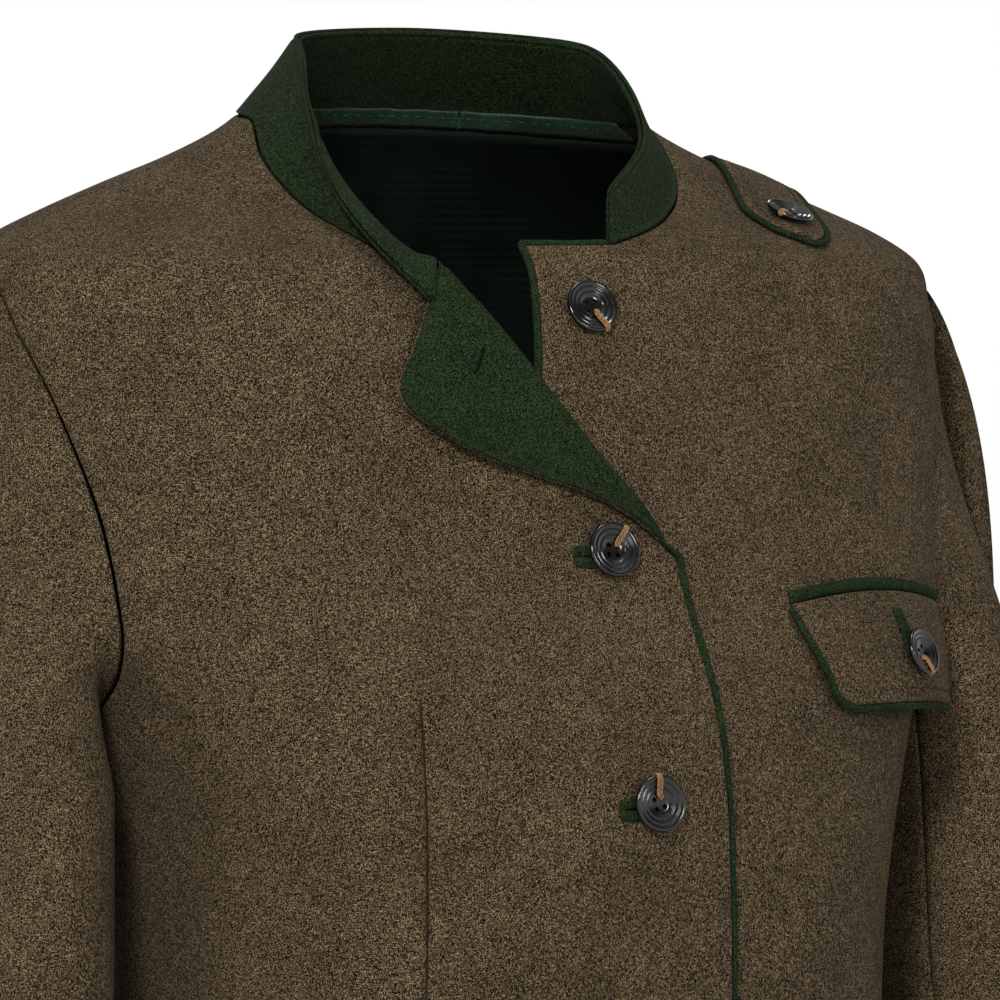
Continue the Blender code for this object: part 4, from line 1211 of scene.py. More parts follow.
def collar_sheet(points, normal, near, far, outside):
    """One layer of the collar with its free edges rounded and a stitched groove by its top edge."""
    face, behind = points + normal * far, points + normal * near
    through = unit(face - behind)
    drop = np.zeros(face.shape[:2])
    for side in ("first_row", "last_row", "last_column"):
        drop = np.maximum(drop, rounding(side_distance(points, side), *COLLAR_EDGE))
    from_top = side_distance(points, "last_column")
    groove = COLLAR_GROOVE_DEPTH * bell(from_top - COLLAR_GROOVE, COLLAR_GROOVE_HALF)
    from_ends = np.minimum(side_distance(points, "first_row"), side_distance(points, "last_row"))
    if outside:
        end_groove = COLLAR_GROOVE_DEPTH * bell(from_ends - COLLAR_GROOVE, COLLAR_GROOVE_HALF)
        groove = np.maximum(groove, end_groove * smooth_step(from_top / 3))
    groove = groove * smooth_step(from_ends / 2)
    return face - through * (drop + groove)[..., None], behind + through * (drop * 0.4)[..., None]


def collar():
    points, normal = collar_sections()
    points, normal = down_to_gorge(softened(points), normal)
    share = np.linspace(0, 1, points.shape[1])[None, :, None]
    bulge = unevenness(points * 1.6)[..., None] * 0.5 * share
    points = points + normal * bulge
    points = rounded_collar_end(points)
    near, far = COLLAR_GAP / 2, COLLAR_GAP / 2 + FELT
    outer = shell("felt_collar_outer", [collar_sheet(points, normal, near, far, True)], GREEN_FELT)
    inner = shell("felt_collar_inner", [collar_sheet(points, normal, -near, -far, False)], GREEN_FELT)
    return outer, inner


def softened(points):
    """The collar's corners rounded towards its top by drawing its rows to their neighbours."""
    soft = points.copy()
    for _ in range(SOFTEN_ROUNDS):
        soft[1:-1] = (soft[:-2] + 2 * soft[1:-1] + soft[2:]) / 4
    share = smooth_step(np.linspace(0, 1, points.shape[1]) * 1.5)[:, None]
    return points * (1 - share) + soft * share


def down_to_gorge(points, normal):
    """The collar carried on from its right end down into the gorge of the lapel."""
    share = np.linspace(0, 1, GORGE_ROWS + 1)[1:, None, None]
    edge = smooth_step(np.linspace(0, 1, points.shape[1]))[:, None]
    move = np.array(GORGE_ROLL_MOVE) * (1 - edge) + np.array(GORGE_EDGE_MOVE) * edge
    more = points[-1] + move * share
    more_normal = np.repeat(normal[-1:], GORGE_ROWS, axis=0)
    return np.concatenate([points, more]), np.concatenate([normal, more_normal])


def rounded_collar_end(points):
    """The collar's two front corners pulled in to round ones."""
    from_top = side_distance(points, "last_column") / COLLAR_ROUND
    for side in ("first_row", "last_row"):
        from_end = side_distance(points, side) / COLLAR_ROUND
        pull = CORNER_PULL * COLLAR_ROUND * np.clip(1 - from_top, 0, 1) ** 2
        pull = pull * np.clip(1 - from_end, 0, 1) ** 2
        inward = unit(np.gradient(points, axis=0)) * (1 if side == "first_row" else -1)
        down = -unit(np.gradient(points, axis=1))
        points = points + (inward + down) * pull[..., None]
    return points


# ---------------------------------------------------------------- pipings, pocket and epaulette

def piping_line(points, normals, beyond, spacing=2.5):
    """A piping's line beside an edge of cloth, evenly spaced and stopping short of both ends."""
    line = beside(points, normals, beyond)
    both = np.concatenate([line, normals], axis=1)
    spots = np.arange(PIPING_END, line_length(line) - PIPING_END, spacing)
    both = along(both, spots)
    return both[:, :3], unit(both[:, 3:])


def lumpy(line, size):
    """A half width along a line that varies a little, as hand-fed felt does."""
    return size * (1 + 0.09 * np.sin(line[:, 2] / 7.3 + line[:, 0] / 5) * np.sin(line[:, 2] / 19 + 1))


def piping(name, line, normals, width, height):
    return tubes(name, [(line, normals, lumpy(line, width), lumpy(line, height))], GREEN_FELT)


def front_pipings():
    beyond = PIPING_RADIUS + PIPING_GAP
    right = right_edge(BREAK_Z + PIPING_RUN_ON, 140)
    normal = torso_normal(right)
    middle = torso(right) + normal * (right_front_lift(right) - CLOTH / 2)[:, None]
    line, normals = piping_line(middle, normal, -beyond)
    width = 1.05 + 1.0 * smooth_step((line[:, 2] + 250) / 80)
    right_piping = piping("felt_front_right_piping", line, normals, width, height=1.3)
    left = joined(left_edge(160), top_edge(14))
    normal = torso_normal(left)
    line, normals = piping_line(torso(left) - normal * CLOTH / 2, normal, beyond, 1.2)
    return right_piping, piping("felt_front_left_piping", line, normals, width=1.5, height=1.25)


def flap_skin(grid):
    share, depth = grid[..., :1], grid[..., 1:]
    ridge = FLAP_RIDGE * bell(share - FLAP_RIDGE_AT, FLAP_RIDGE_HALF) * smooth_step(depth * 1.4)
    crown = FLAP_CROWN * np.sin(math.pi * np.clip(share, 0, 1)) * np.sin(math.pi * np.clip(depth, 0, 1))
    return flap_surface(share, depth) + flap_normal_at(grid) * (ridge + crown)


def flap_normal_at(grid):
    return flap_normal(np.clip(grid[..., :1], 0.03, 0.97), np.clip(grid[..., 1:], 0.05, 0.95))


def pocket():
    """The chest pocket: green welt, flap and its piping."""
    share = np.linspace(0, 1, 49)
    rise = np.linspace(0, 1, 9)
    share, rise = np.meshgrid(share, rise)
    spots = flap_outline(share[..., None], 0.0) + [0, SEAM_GAP] + [0, WELT] * rise[..., None]
    places = front_place(spots[..., 0], spots[..., 1])
    normal = torso_normal(places)
    from_end = np.minimum(share, 1 - share) * (FLAP_TOP[1][0] - FLAP_TOP[0][0])
    crown = WELT_CROWN * np.sqrt(np.clip(1 - (2 * rise - 1) ** 2, 0, 1))
    crown = crown * np.sqrt(np.clip(from_end / WELT_END, 0.05, 1))
    low = torso(places) + normal * LAID_GAP
    welt = shell("felt_pocket_welt", [(low + normal * (WELT_RISE + crown)[..., None], low)], GREEN_FELT)
    share = np.concatenate([
        np.linspace(0, 0.14, 15)[:-1], np.linspace(0.14, 0.86, 29), np.linspace(0.86, 1, 15)[1:],
    ])
    grid = np.stack(np.meshgrid(np.linspace(0, 1, 19), share, indexing="ij")[::-1], axis=-1)
    groove = [("last_row", FLAP_STITCH, 0.6, 0.4)]
    sheet = sewn_sheet(grid, flap_skin, flap_normal_at, CLOTH, ALL_FREE, groove)
    flap = shell("cloth_pocket_flap", [sheet], LODEN)
    outer, normal = flap_skin(grid), flap_normal_at(grid)
    rim = joined(outer[:, 0], outer[-1])
    rim_normal = joined(normal[:, 0], normal[-1])
    middle = rim - rim_normal * CLOTH / 2
    line, normals = piping_line(middle, rim_normal, -PIPING_RADIUS - PIPING_GAP, 1.5)
    return welt, flap, piping("felt_flap_piping", line, normals, width=1.45, height=1.2)


def tab_skin(grid):
    places = tab_places(grid[..., 0], grid[..., 1])
    crown = TAB_CROWN * np.cos(math.pi / 2 * np.clip(grid[..., 1], -1, 1))
    return torso(places) + torso_normal(places) * (LAID_GAP + CLOTH + crown)[..., None]


def tab_normal(grid):
    return torso_normal(tab_places(grid[..., 0], grid[..., 1]))


def epaulette():
    """The tab over the wearer's left shoulder, pointing to the front, with its piping."""
    steps = np.concatenate([np.linspace(0, 0.8, 33), np.linspace(0.8, 1, 19)[1:]])
    grid = np.stack(np.meshgrid(steps, np.linspace(-1, 1, 15), indexing="ij"), axis=-1)
    groove = [(side, TAB_STITCH, 0.6, 0.35) for side in ("first_column", "last_column")]
    sheet = sewn_sheet(grid, tab_skin, tab_normal, CLOTH, ALL_FREE, groove)
    tab = shell("cloth_epaulette", [sheet], LODEN)
    places = tab_places(grid[..., 0], grid[..., 1])
    rim = joined(places[:, 0], places[-1], places[::-1, -1])
    normal = torso_normal(rim)
    middle = torso(rim) + normal * (LAID_GAP + CLOTH / 2)
    line, normals = piping_line(middle, normal, -PIPING_RADIUS - PIPING_GAP, 1.5)
    return tab, piping("felt_epaulette_piping", line, normals, width=1.3, height=1.2)


# ---------------------------------------------------------------- inside of the neck

def neck_inside(
    name, first, last, drop, height, lift, thickness, rows, columns, surface, ripple, flare=0
):
    """A strip inside the back, from a drop below the neck seam; angles in degrees from back."""
    share = np.linspace(1, 0, rows + 1)[:, None]
    widened = 1 + flare * smooth_step(1 - share / FLARE_SHARE)
    turn = np.radians(np.linspace(first, last, columns)) * widened
    z = neck_height(turn) - drop - share * height
    places = np.stack([math.pi + turn, z], axis=-1)
    normal = torso_normal(places)
    wave = ripple * (1 + np.sin(turn * 23) * np.sin(z / 17)) / 2
    outer = torso(places) + normal * (lift - wave)[..., None]
    return shell(name, [(outer, outer - normal * thickness)], surface)


def inside_of_back():
    lift = -CLOTH - TAPE_GAP
    tape = (TAPE_DROP - TAPE_RAISE, TAPE_WIDTH + TAPE_RAISE, lift, TAPE, 6)
    left = neck_inside("tape_neck_left", -84, TAPE_JOIN, *tape, 60, SATIN_TAPE, 0.5)
    right = neck_inside("tape_neck_right", TAPE_JOIN + 0.4, 84, *tape, 110, SATIN_TAPE, 0.5)
    drop = TAPE_DROP + TAPE_WIDTH + SEAM_GAP
    lining = neck_inside(
        "lining_back", -LINING_TURN, LINING_TURN, drop, LINING_LENGTH, -CLOTH - LINING_GAP, LINING,
        60, 90, DARK_LINING, 1.6, LINING_FLARE,
    )
    return left, right, lining


# ---------------------------------------------------------------- buttons and buttonholes

def facing_matrix(point, normal):
    """A frame at a point with its Z along a normal and its X as level as can be."""
    z = Vector(normal)
    y = z.cross(Vector((1, 0, 0))).normalized()
    turn = Matrix((y.cross(z), y, z)).transposed().to_4x4()
    return Matrix.Translation(Vector(point) * MM) @ turn


def button_mesh():
    """A turned horn button of the front's size, dished and ringed, with four drilled holes."""
    radius = BUTTON_DIAMETER / 2
    profile = np.array([(radius * share, height) for share, height in FINE_BUTTON_PROFILE])
    turn = np.linspace(0, 2 * math.pi, FINE_BUTTON_STEPS, endpoint=False)
    rings = np.stack(np.broadcast_arrays(
        profile[:, None, 0] * np.cos(turn), profile[:, None, 0] * np.sin(turn), profile[:, None, 1]
    ), axis=-1)
    body = mesh_of("button_body", rings.reshape(-1, 3), ring_faces(len(profile), FINE_BUTTON_STEPS, 0))
    turned_body = placed("button_body", body)
    cutter_body = bmesh.new()
    for quarter in range(4):
        angle = math.radians(45 + 90 * quarter)
        centre = Vector((math.cos(angle), math.sin(angle), 0)) * HOLE_SPREAD * radius * MM
        bmesh.ops.create_cone(
            cutter_body, cap_ends=True, segments=HOLE_STEPS, depth=DRILL_LENGTH * MM,
            radius1=HOLE_RADIUS * MM, radius2=HOLE_RADIUS * MM, matrix=Matrix.Translation(centre),
        )
    cutter_mesh = bpy.data.meshes.new("button_drill")
    cutter_body.to_mesh(cutter_mesh)
    cutter_body.free()
    cutter = placed("button_drill", cutter_mesh)
    cut = turned_body.modifiers.new("holes", "BOOLEAN")
    cut.operation = "DIFFERENCE"
    cut.solver = "EXACT"
    cut.object = cutter
    bpy.context.view_layer.update()
    shown = turned_body.evaluated_get(bpy.context.evaluated_depsgraph_get())
    made = bpy.data.meshes.new_from_object(shown)
    for used in (turned_body, cutter):
        bpy.data.objects.remove(used, do_unlink=True)
    made.shade_smooth()
    made.set_sharp_from_angle(angle=BUTTON_SHARP_ANGLE)
    made.materials.clear()
    made.materials.append(HORN)
    return made


def button(name, mesh, point, normal, scale, roll):
    """A button at a point on the cloth, facing along a normal, rolled about its axis."""
    made = placed(name, mesh)
    place = facing_matrix(point, normal) @ Matrix.Rotation(math.radians(roll), 4, "Z")
    made.matrix_world = place @ Matrix.Diagonal((scale, scale, scale, 1))
    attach(made, "root")
    return made, place


def rope(points, phase):
    """One strand of a twisted bundle along points (x, y, height)."""
    points = np.array(points, float)
    line = curve_through(points, np.linspace(0, len(points) - 1, 8 * (len(points) - 1) + 1))
    turn = 2 * math.pi * (phase + TAIL_TWIST * np.linspace(0, 1, len(line)))[:, None]
    aside = unit(np.cross(np.gradient(line, axis=0), [0, 0, 1.0]) + 1e-9)
    upward = np.array([0, 0, 0.5])
    return line + aside * np.cos(turn) * TAIL_RADIUS + upward * np.sin(turn) * TAIL_RADIUS


def button_threads(name, places):
    """The sewing threads of the buttons: a twisted bundle from a hole over the rim."""
    runs = []
    for place, scale, tail in places:
        radius = BUTTON_DIAMETER / 2
        spread = HOLE_SPREAD * radius * math.sqrt(0.5)
        tail_at = (math.cos(math.radians(tail)), math.sin(math.radians(tail)))
        start = (math.copysign(spread, tail_at[0]), math.copysign(spread, tail_at[1]))
        over = [(*start, 0.6), (*start, 1.3)]
        over += [(tail_at[0] * reach, tail_at[1] * reach, height) for reach, height in TAIL_PATH]
        world = np.array(place)
        for number in range(TAIL_STRANDS):
            line = rope(over, number / TAIL_STRANDS)
            spots = line * scale * MM @ world[:3, :3].T + world[:3, 3]
            normals = np.broadcast_to(world[:3, 2], line.shape)
            runs.append((spots / MM, normals, THREAD_RADIUS, THREAD_RADIUS))
    return tubes(name, runs, THREAD, steps=8)


def lip_sheets(at, half_length, half_height):
    """Two rounded lips that meet at a slit, as closed shells."""
    sheets = []
    for sign in (-1, 1):
        u, v = np.meshgrid(np.linspace(-half_length, half_length, 33), np.linspace(0, 1, 9))
        middle = (half_height + LIP_OPENING) / 2
        half = (half_height - LIP_OPENING) / 2
        ends = np.sqrt(np.clip(1 - (np.abs(u) / half_length) ** 6, 0, 1))
        turn = math.pi * (1 - v)
        across = sign * (middle + half * np.cos(turn))
        height = (0.25 + 1.0 * np.sin(turn)) * (0.25 + 0.75 * ends)
        base, normal = at(u, across * (0.55 + 0.45 * ends))
        sheets.append((base + normal * (height - 0.1)[..., None], base - normal * 0.1))
    return sheets


def over_front(x, z):
    """Points on the right front's buttonholes, laid level about (x, z)."""
    def at(u, v):
        places = front_place(x + u, z + v)
        normal = torso_normal(places)
        return torso(places) + normal * (right_front_lift(places) + LAID_GAP)[..., None], normal
    return at


def over_flap(u, v):
    share = (FLAP_SLIT[0] + v / FLAP_WIDTH)[..., None]
    depth = (FLAP_SLIT[1] - u / FLAP_DEPTH)[..., None]
    grid = np.concatenate([share, depth], axis=-1)
    normal = flap_normal_at(grid)
    return flap_skin(grid) + normal * LAID_GAP, normal


def front_buttons(mesh):
    """Five buttons down the front; those below the first lie on bound buttonholes."""
    made, holes, places = {}, {}, []
    for number, x in enumerate(BUTTON_X):
        z = FIRST_BUTTON_Z - number * BUTTON_PITCH
        place = front_place(x, z)
        normal = torso_normal(place)
        lift = LAID_GAP
        if number:
            at = over_front(x - SLIT_BACK, z - SLIT_DROP)
            lips = lip_sheets(at, SLIT_LENGTH / 2, SLIT_HEIGHT / 2)
            node = f"buttonhole_{number + 1}"
            holes[node] = shell("felt_" + node, lips, GREEN_FELT)
            lift = right_front_lift(place) + 2 * LAID_GAP + LIP
        node = f"front_button_{number + 1}"
        point = torso(place) + normal * lift
        made[node], matrix = button("horn_" + node, mesh, point, normal, 1, BUTTON_ROLLS[number])
        places.append((matrix, 1, BUTTON_TAILS[number]))
    return made, holes, places


def small_buttons(mesh):
    scale = SMALL_BUTTON_DIAMETER / BUTTON_DIAMETER
    place = tab_places(np.array(TAB_BUTTON), np.array(0.0))
    normal = torso_normal(place)
    point = torso(place) + normal * (2 * LAID_GAP + CLOTH + TAB_BUTTON_RISE)
    tab, tab_matrix = button("horn_epaulette_button", mesh, point, normal, scale, TAB_ROLL)
    spot = np.array([[FLAP_BUTTON]])
    normal = flap_normal_at(spot)[0, 0]
    point = flap_skin(spot)[0, 0] + normal * (2 * LAID_GAP + LIP)
    flap, flap_matrix = button("horn_flap_button", mesh, point, normal, scale, FLAP_ROLL)
    return tab, flap, [(tab_matrix, scale, TAB_TAIL), (flap_matrix, scale, FLAP_TAIL)]


def lapel_slit_line():
    """The line of the worked buttonhole on the turned corner, and its normals."""
    steps = np.linspace(0, 1, 21)[:, None]
    ends = np.array(LAPEL_SLIT, float)
    middle = ends[0] + (ends[1] - ends[0]) * steps
    places = front_place(middle[:, 0], middle[:, 1])
    lift = right_front_lift(front_place(*(middle + LAPEL_SLIT_LIFT_FROM).T))
    normal = torso_normal(places)
    height = 2 * ROLL_RADIUS + CLOTH + SEAM_GAP + FELT + LAPEL_SLIT_RISE
    return torso(places) + normal * (lift + height)[:, None], normal


def lapel_slit():
    """The worked buttonhole's raised bar along its outer edge."""
    line, normal = lapel_slit_line()
    return tubes("felt_lapel_buttonhole", [(line, normal, 0.9, 0.7)], GREEN_FELT)


# ---------------------------------------------------------------- stitches

def stitched_lines():
    """Seam lines to topstitch, on green felt: (points, normals)."""
    near, far = facing_sheet()
    through = unit(far - near)
    from_edge = side_distance(far, "last_column")
    column = np.abs(from_edge[: ROLL_ROWS - 6] - LAPEL_GROOVE).argmin(axis=1)
    rows = np.arange(len(column))[4:]
    lapel = (far[rows, column[4:]], through[rows, column[4:]])
    points, normal = collar_sections()
    rim = np.abs(side_distance(points, "last_column") - COLLAR_GROOVE).argmin(axis=1)
    rows = np.arange(len(rim))[3:-3]
    inside = -normal[rows, rim[3:-3]]
    collar_rim = (points[rows, rim[3:-3]] + inside * (COLLAR_GAP / 2 + FELT), inside)
    return lapel, collar_rim


def cloth_stitches():
    """Topstitching on the loden: the flap's foot, the tab's sides and the left front's edge."""
    share = np.linspace(0.05, 0.97, 60)
    depth = np.full(60, 1 - FLAP_STITCH / FLAP_DEPTH)
    spots = np.stack([share, depth], axis=-1)[None]
    flap = (flap_skin(spots)[0], flap_normal_at(spots)[0])
    lines = [flap]
    for across in (-1, 1):
        aside = np.full(60, across * (1 - TAB_STITCH / TAB_HALF_WIDTH))
        spots = np.stack([np.linspace(0.02, 0.93, 60), aside], axis=-1)
        lines.append((tab_skin(spots), tab_normal(spots)))
    z = np.linspace(HEM_Z + 4, FRONT_TOP_Z - 3, 300)
    places = front_place(left_edge_x(z) + EDGE_STITCH, z)
    lines.append((torso(places), torso_normal(places)))
    z = np.linspace(HEM_Z + 4, BREAK_Z - 8, 300)
    places = front_place(centre_x(z) + RIGHT_OVERLAP - EDGE_STITCH, z)
    lines.append((right_skin(places), torso_normal(places)))
    return lines


def stitching():
    lapel, collar_rim = stitched_lines()
    green = []
    for line, normals in (lapel, collar_rim):
        green += stitch_runs(line, unit(normals), *FELT_STITCHES)
    # A dark thread beside the lapel buttonhole's bar: painted shade for the slit.
    line, normals = lapel_slit_line()
    green.append((beside(line, normals, SLIT_BESIDE), normals, SLIT_SHADE_THREAD, SLIT_SHADE_THREAD))
    brown = []
    for line, normals in cloth_stitches():
        brown += stitch_runs(line, normals, *LODEN_STITCHES)
    tape_turn = np.radians(np.linspace(-82, 82, 160))
    neck = neck_height(tape_turn) - TAPE_DROP - 1.0
    places = np.stack([math.pi + tape_turn, neck], axis=-1)
    inward = -torso_normal(places)
    line = torso(places) + inward * (CLOTH + TAPE_GAP + TAPE + 0.1)
    tape = stitch_runs(line, inward, *TAPE_STITCHES)
    # The dart's dark tube joins the brown threads as painted shade along its seam.
    line, normals = dart_shade_line()
    brown.append((line, normals, DART_SHADE_THREAD, DART_SHADE_THREAD))
    brown += seam_threads()
    return (
        tubes("thread_felt_stitches", green, GREEN_THREAD, steps=5),
        tubes("thread_loden_stitches", brown, BROWN_THREAD, steps=5),
        tubes("thread_tape_stitches", tape + tape_join(), TAPE_THREAD, steps=6),
    )


def seam_threads():
    """Sewing thread along the inside of the torso's seams."""
    runs = []
    for turn, low, high in TORSO_SEAMS:
        z = np.linspace(low + 1, high - 1, 90)
        places = np.stack([np.full(90, math.radians(turn)), z], axis=-1)
        normal = torso_normal(places)
        runs.append((torso(places) - normal * CLOTH * 0.8, normal, SEAM_THREAD, SEAM_THREAD / 2))
    return runs


def dart_shade_line():
    """A dark thread tube down the dart's groove: painted shade, the dark line along the dart's seam."""
    z = np.linspace(DART_TOP - 2, HEM_Z + 12, 160)
    places = dart_place(z)
    normal = torso_normal(places)
    return right_skin(places) + normal * DART_SHADE_THREAD_RISE, normal


def tape_join():
    """Four slanting stitches where the neck tape's two ends meet."""
    runs = []
    for step in range(4):
        turn = np.radians(TAPE_JOIN + np.linspace(-0.5, 0.9, 5) + step * 0.15)
        drop = TAPE_DROP + 0.5 + step * 1.1 + np.linspace(0, 1.2, 5)
        places = np.stack([math.pi + turn, neck_height(turn) - drop], axis=-1)
        inward = -torso_normal(places)
        line = torso(places) + inward * (CLOTH + TAPE_GAP + TAPE + 0.25)
        runs.append((line, inward, 0.26, 0.26))
    return runs


# ---------------------------------------------------------------- materials

def shades(*rows):
    """Stops of a ramp from rows of share, red, green, blue."""
    return [(share, srgb(*colour)) for share, *colour in rows]


def srgb(red, green, blue):
    """A linear colour from 0 to 255 display values."""
    values = [v / 255 for v in (red, green, blue)]
    return (*[v / 12.92 if v <= 0.04045 else ((v + 0.055) / 1.055) ** 2.4 for v in values], 1)


def feed(tree, socket, value):
    """Links a socket to another one or sets it to a value."""
    if isinstance(value, bpy.types.NodeSocket):
        tree.links.new(value, socket)
    else:
        socket.default_value = value


def add(tree, kind, inputs=(), **settings):
    """A node with its settings, its inputs set or linked."""
    made = tree.nodes.new(kind)
    for name, value in settings.items():
        setattr(made, name, value)
    for name, value in dict(inputs).items():
        feed(tree, made.inputs[name], value)
    return made


def start_material(name, sockets):
    """A material with its uniform shader values set on the Principled sockets."""
    made = bpy.data.materials.new(name)
    made.use_nodes = True
    tree = made.node_tree
    shader = tree.nodes["Principled BSDF"]
    for socket, value in sockets.items():
        shader.inputs[socket].default_value = value
    coordinates = tree.nodes.new("ShaderNodeTexCoord").outputs["Object"]
    return made, tree, shader, coordinates


def fibres(tree, coordinates, turn, length, width, shift):
    """Noise drawn out along one direction, as one lie of wool fibres; sizes in millimetres."""
    mapped = add(tree, "ShaderNodeMapping", vector_type="TEXTURE", inputs={
        "Vector": coordinates, "Rotation": [math.radians(a) for a in turn],
        "Scale": (length * MM, width * MM, width * MM), "Location": (shift, shift, 0),
    })
    noise = add(tree, "ShaderNodeTexNoise", inputs={
        "Vector": mapped.outputs[0], "Scale": 1.0, "Detail": 1.5, "Roughness": 0.6, "Distortion": 0.5,
    })
    return noise.outputs["Fac"]


def math_node(tree, operation, first, second):
    made = add(tree, "ShaderNodeMath", operation=operation)
    for socket, value in zip(made.inputs, (first, second)):
        feed(tree, socket, value)
    return made.outputs[0]


def noise_at(tree, coordinates, size, detail=2.0):
    """Plain noise with features of a size in millimetres."""
    made = add(tree, "ShaderNodeTexNoise", inputs={
        "Vector": coordinates, "Scale": 1 / (size * MM), "Detail": detail, "Roughness": 0.55,
    })
    return made.outputs["Fac"]


def ramp(tree, value, low, high, stops):
    """A colour ramp over a value from low to high; stops are (share, colour)."""
    ranged = add(tree, "ShaderNodeMapRange", inputs={"Value": value, "From Min": low, "From Max": high})
    made = add(tree, "ShaderNodeValToRGB", inputs={"Fac": ranged.outputs[0]})
    elements = made.color_ramp.elements
    for share, colour in stops[1:-1]:
        elements.new(share).color = colour
    elements[0].color = stops[0][1]
    elements[-1].color = stops[-1][1]
    return made.outputs["Color"]


def tinted(tree, colour, value, dark, light):
    """A colour multiplied by a grey that runs from dark to light over a noise's usual range."""
    ranged = add(tree, "ShaderNodeMapRange", inputs={
        "Value": value, "From Min": NOISE_LOW, "From Max": NOISE_HIGH, "To Min": dark, "To Max": light,
    })
    mixed = add(tree, "ShaderNodeMix", data_type="RGBA", blend_type="MULTIPLY")
    mixed.inputs["Factor"].default_value = 1
    tree.links.new(colour, mixed.inputs[6])
    grey = add(tree, "ShaderNodeCombineColor")
    for channel in range(3):
        tree.links.new(ranged.outputs[0], grey.inputs[channel])
    tree.links.new(grey.outputs[0], mixed.inputs[7])
    return mixed.outputs[2]


def paint(tree, shader, colour):
    tree.links.new(colour, shader.inputs["Base Color"])


def roughen(tree, shader, value, smoothest, roughest, low=0.0, high=1.0):
    """Roughness that follows a value as it runs from low to high."""
    rough = add(tree, "ShaderNodeMapRange", inputs={
        "Value": value, "From Min": low, "From Max": high, "To Min": smoothest, "To Max": roughest,
    })
    tree.links.new(rough.outputs[0], shader.inputs["Roughness"])


def bump(tree, shader, height, distance, strength):
    made = add(tree, "ShaderNodeBump", inputs={
        "Height": height, "Distance": distance * MM, "Strength": strength,
    })
    tree.links.new(made.outputs[0], shader.inputs["Normal"])


def streaks(tree, coordinates, sizes):
    """Light fibres minus dark ones, lying every way: about 0.5 with rare highs and lows."""
    length, width = sizes
    values = [
        fibres(tree, coordinates, turn, length * stretch, width, 0.37 * number)
        for number, (turn, stretch) in enumerate(FIBRE_TURNS)
    ]
    light = math_node(tree, "MAXIMUM", math_node(tree, "MAXIMUM", values[0], values[1]), values[2])
    dark = math_node(tree, "MAXIMUM", math_node(tree, "MAXIMUM", values[3], values[4]), values[5])
    return math_node(tree, "ADD", math_node(tree, "SUBTRACT", light, dark), 0.5)


def wool(name, stops, sizes, spread, mottle, sheen, bump_depth):
    """Heathered fulled wool: short fibres every way, soft mottling, a matt nap with sheen."""
    made, tree, shader, coordinates = start_material(name, {
        "Roughness": 0.95, "Specular IOR Level": 0.04, "Sheen Weight": sheen, "Sheen Roughness": 0.5,
    })
    value = streaks(tree, coordinates, sizes)
    colour = ramp(tree, value, 0.5 - spread, 0.5 + spread, stops)
    colour = tinted(tree, colour, noise_at(tree, coordinates, 34), 1 - mottle, 1 + mottle)
    colour = tinted(tree, colour, noise_at(tree, coordinates, 5.5, 3), 1 - mottle, 1 + mottle)
    paint(tree, shader, colour)
    height = math_node(tree, "ADD", value, noise_at(tree, coordinates, 0.9, 2))
    bump(tree, shader, height, bump_depth, 0.8)
    return made


def satin_material():
    """Woven satin tape: fine cross threads and a soft gloss."""
    made, tree, shader, coordinates = start_material("satin_tape_look", {
        "Specular IOR Level": 0.3, "Sheen Weight": 0.05, "Anisotropic": 0.4,
    })
    value = fibres(tree, coordinates, (0, 0, 0), 3.2, 0.35, 0.1)
    stops = shades((0, 11, 25, 14), (0.5, 20, 41, 25), (1, 38, 70, 45))
    colour = ramp(tree, value, 0.3, 0.7, stops)
    colour = tinted(tree, colour, noise_at(tree, coordinates, 9), 0.75, 1.25)
    paint(tree, shader, colour)
    roughen(tree, shader, value, 0.3, 0.55)
    bump(tree, shader, value, 0.15, 0.5)
    return made


def lining_material():
    """Near-black green twill with faint level ribs."""
    made, tree, shader, coordinates = start_material("dark_lining_look", {
        "Specular IOR Level": 0.06, "Sheen Weight": 0.0,
    })
    ribs = add(tree, "ShaderNodeTexWave", wave_type="BANDS", bands_direction="Z", inputs={
        "Vector": coordinates, "Scale": 1 / (LINING_RIB * MM * 6.283) * 2, "Distortion": 0.6,
        "Detail": 1.0, "Detail Scale": 0.4,
    }).outputs["Fac"]
    patch = noise_at(tree, coordinates, 38)
    value = math_node(tree, "MULTIPLY", ribs, patch)
    stops = shades((0, 11, 17, 13), (0.6, 13, 21, 16), (1, 18, 30, 22))
    colour = ramp(tree, value, 0.1, 0.75, stops)
    colour = tinted(tree, colour, fibres(tree, coordinates, (0, 0, 12), 2.2, 0.4, 0.6), 0.8, 1.2)
    paint(tree, shader, colour)
    roughen(tree, shader, patch, 0.5, 0.75)
    bump(tree, shader, ribs, 0.05, 0.5)
    return made


def horn_material():
    """Polished dark horn with cloudy streaks and a finely uneven gloss."""
    made, tree, shader, coordinates = start_material("horn_look", {
        "Specular IOR Level": 0.4, "Coat Weight": 0.3, "Coat Roughness": 0.03, "IOR": 1.5,
    })
    streak = fibres(tree, coordinates, (0, 20, 35), 9, 1.6, 0.2)
    stops = shades((0, 4, 3, 3), (0.55, 8, 7, 6), (0.85, 17, 14, 11), (1, 40, 33, 26))
    colour = ramp(tree, streak, 0.3, 0.72, stops)
    paint(tree, shader, colour)
    fine = noise_at(tree, coordinates, 0.7, 3)
    roughen(tree, shader, fine, 0.1, 0.22, NOISE_LOW, NOISE_HIGH)
    bump(tree, shader, fine, 0.05, 0.4)
    return made


def thread_material(name, dark, light, sheen):
    """Twisted sewing thread with a lighter and a darker ply; on the tan thread they also paint
    highlights and the shade between strands.
    """
    made, tree, shader, coordinates = start_material(name, {
        "Roughness": 0.8, "Specular IOR Level": 0.06, "Sheen Weight": sheen,
    })
    value = fibres(tree, coordinates, (10, 30, 40), 0.9, 0.22, 0.3)
    colour = ramp(tree, value, 0.32, 0.68, ((0, dark), (1, light)))
    paint(tree, shader, colour)
    bump(tree, shader, value, 0.1, 0.6)
    return made


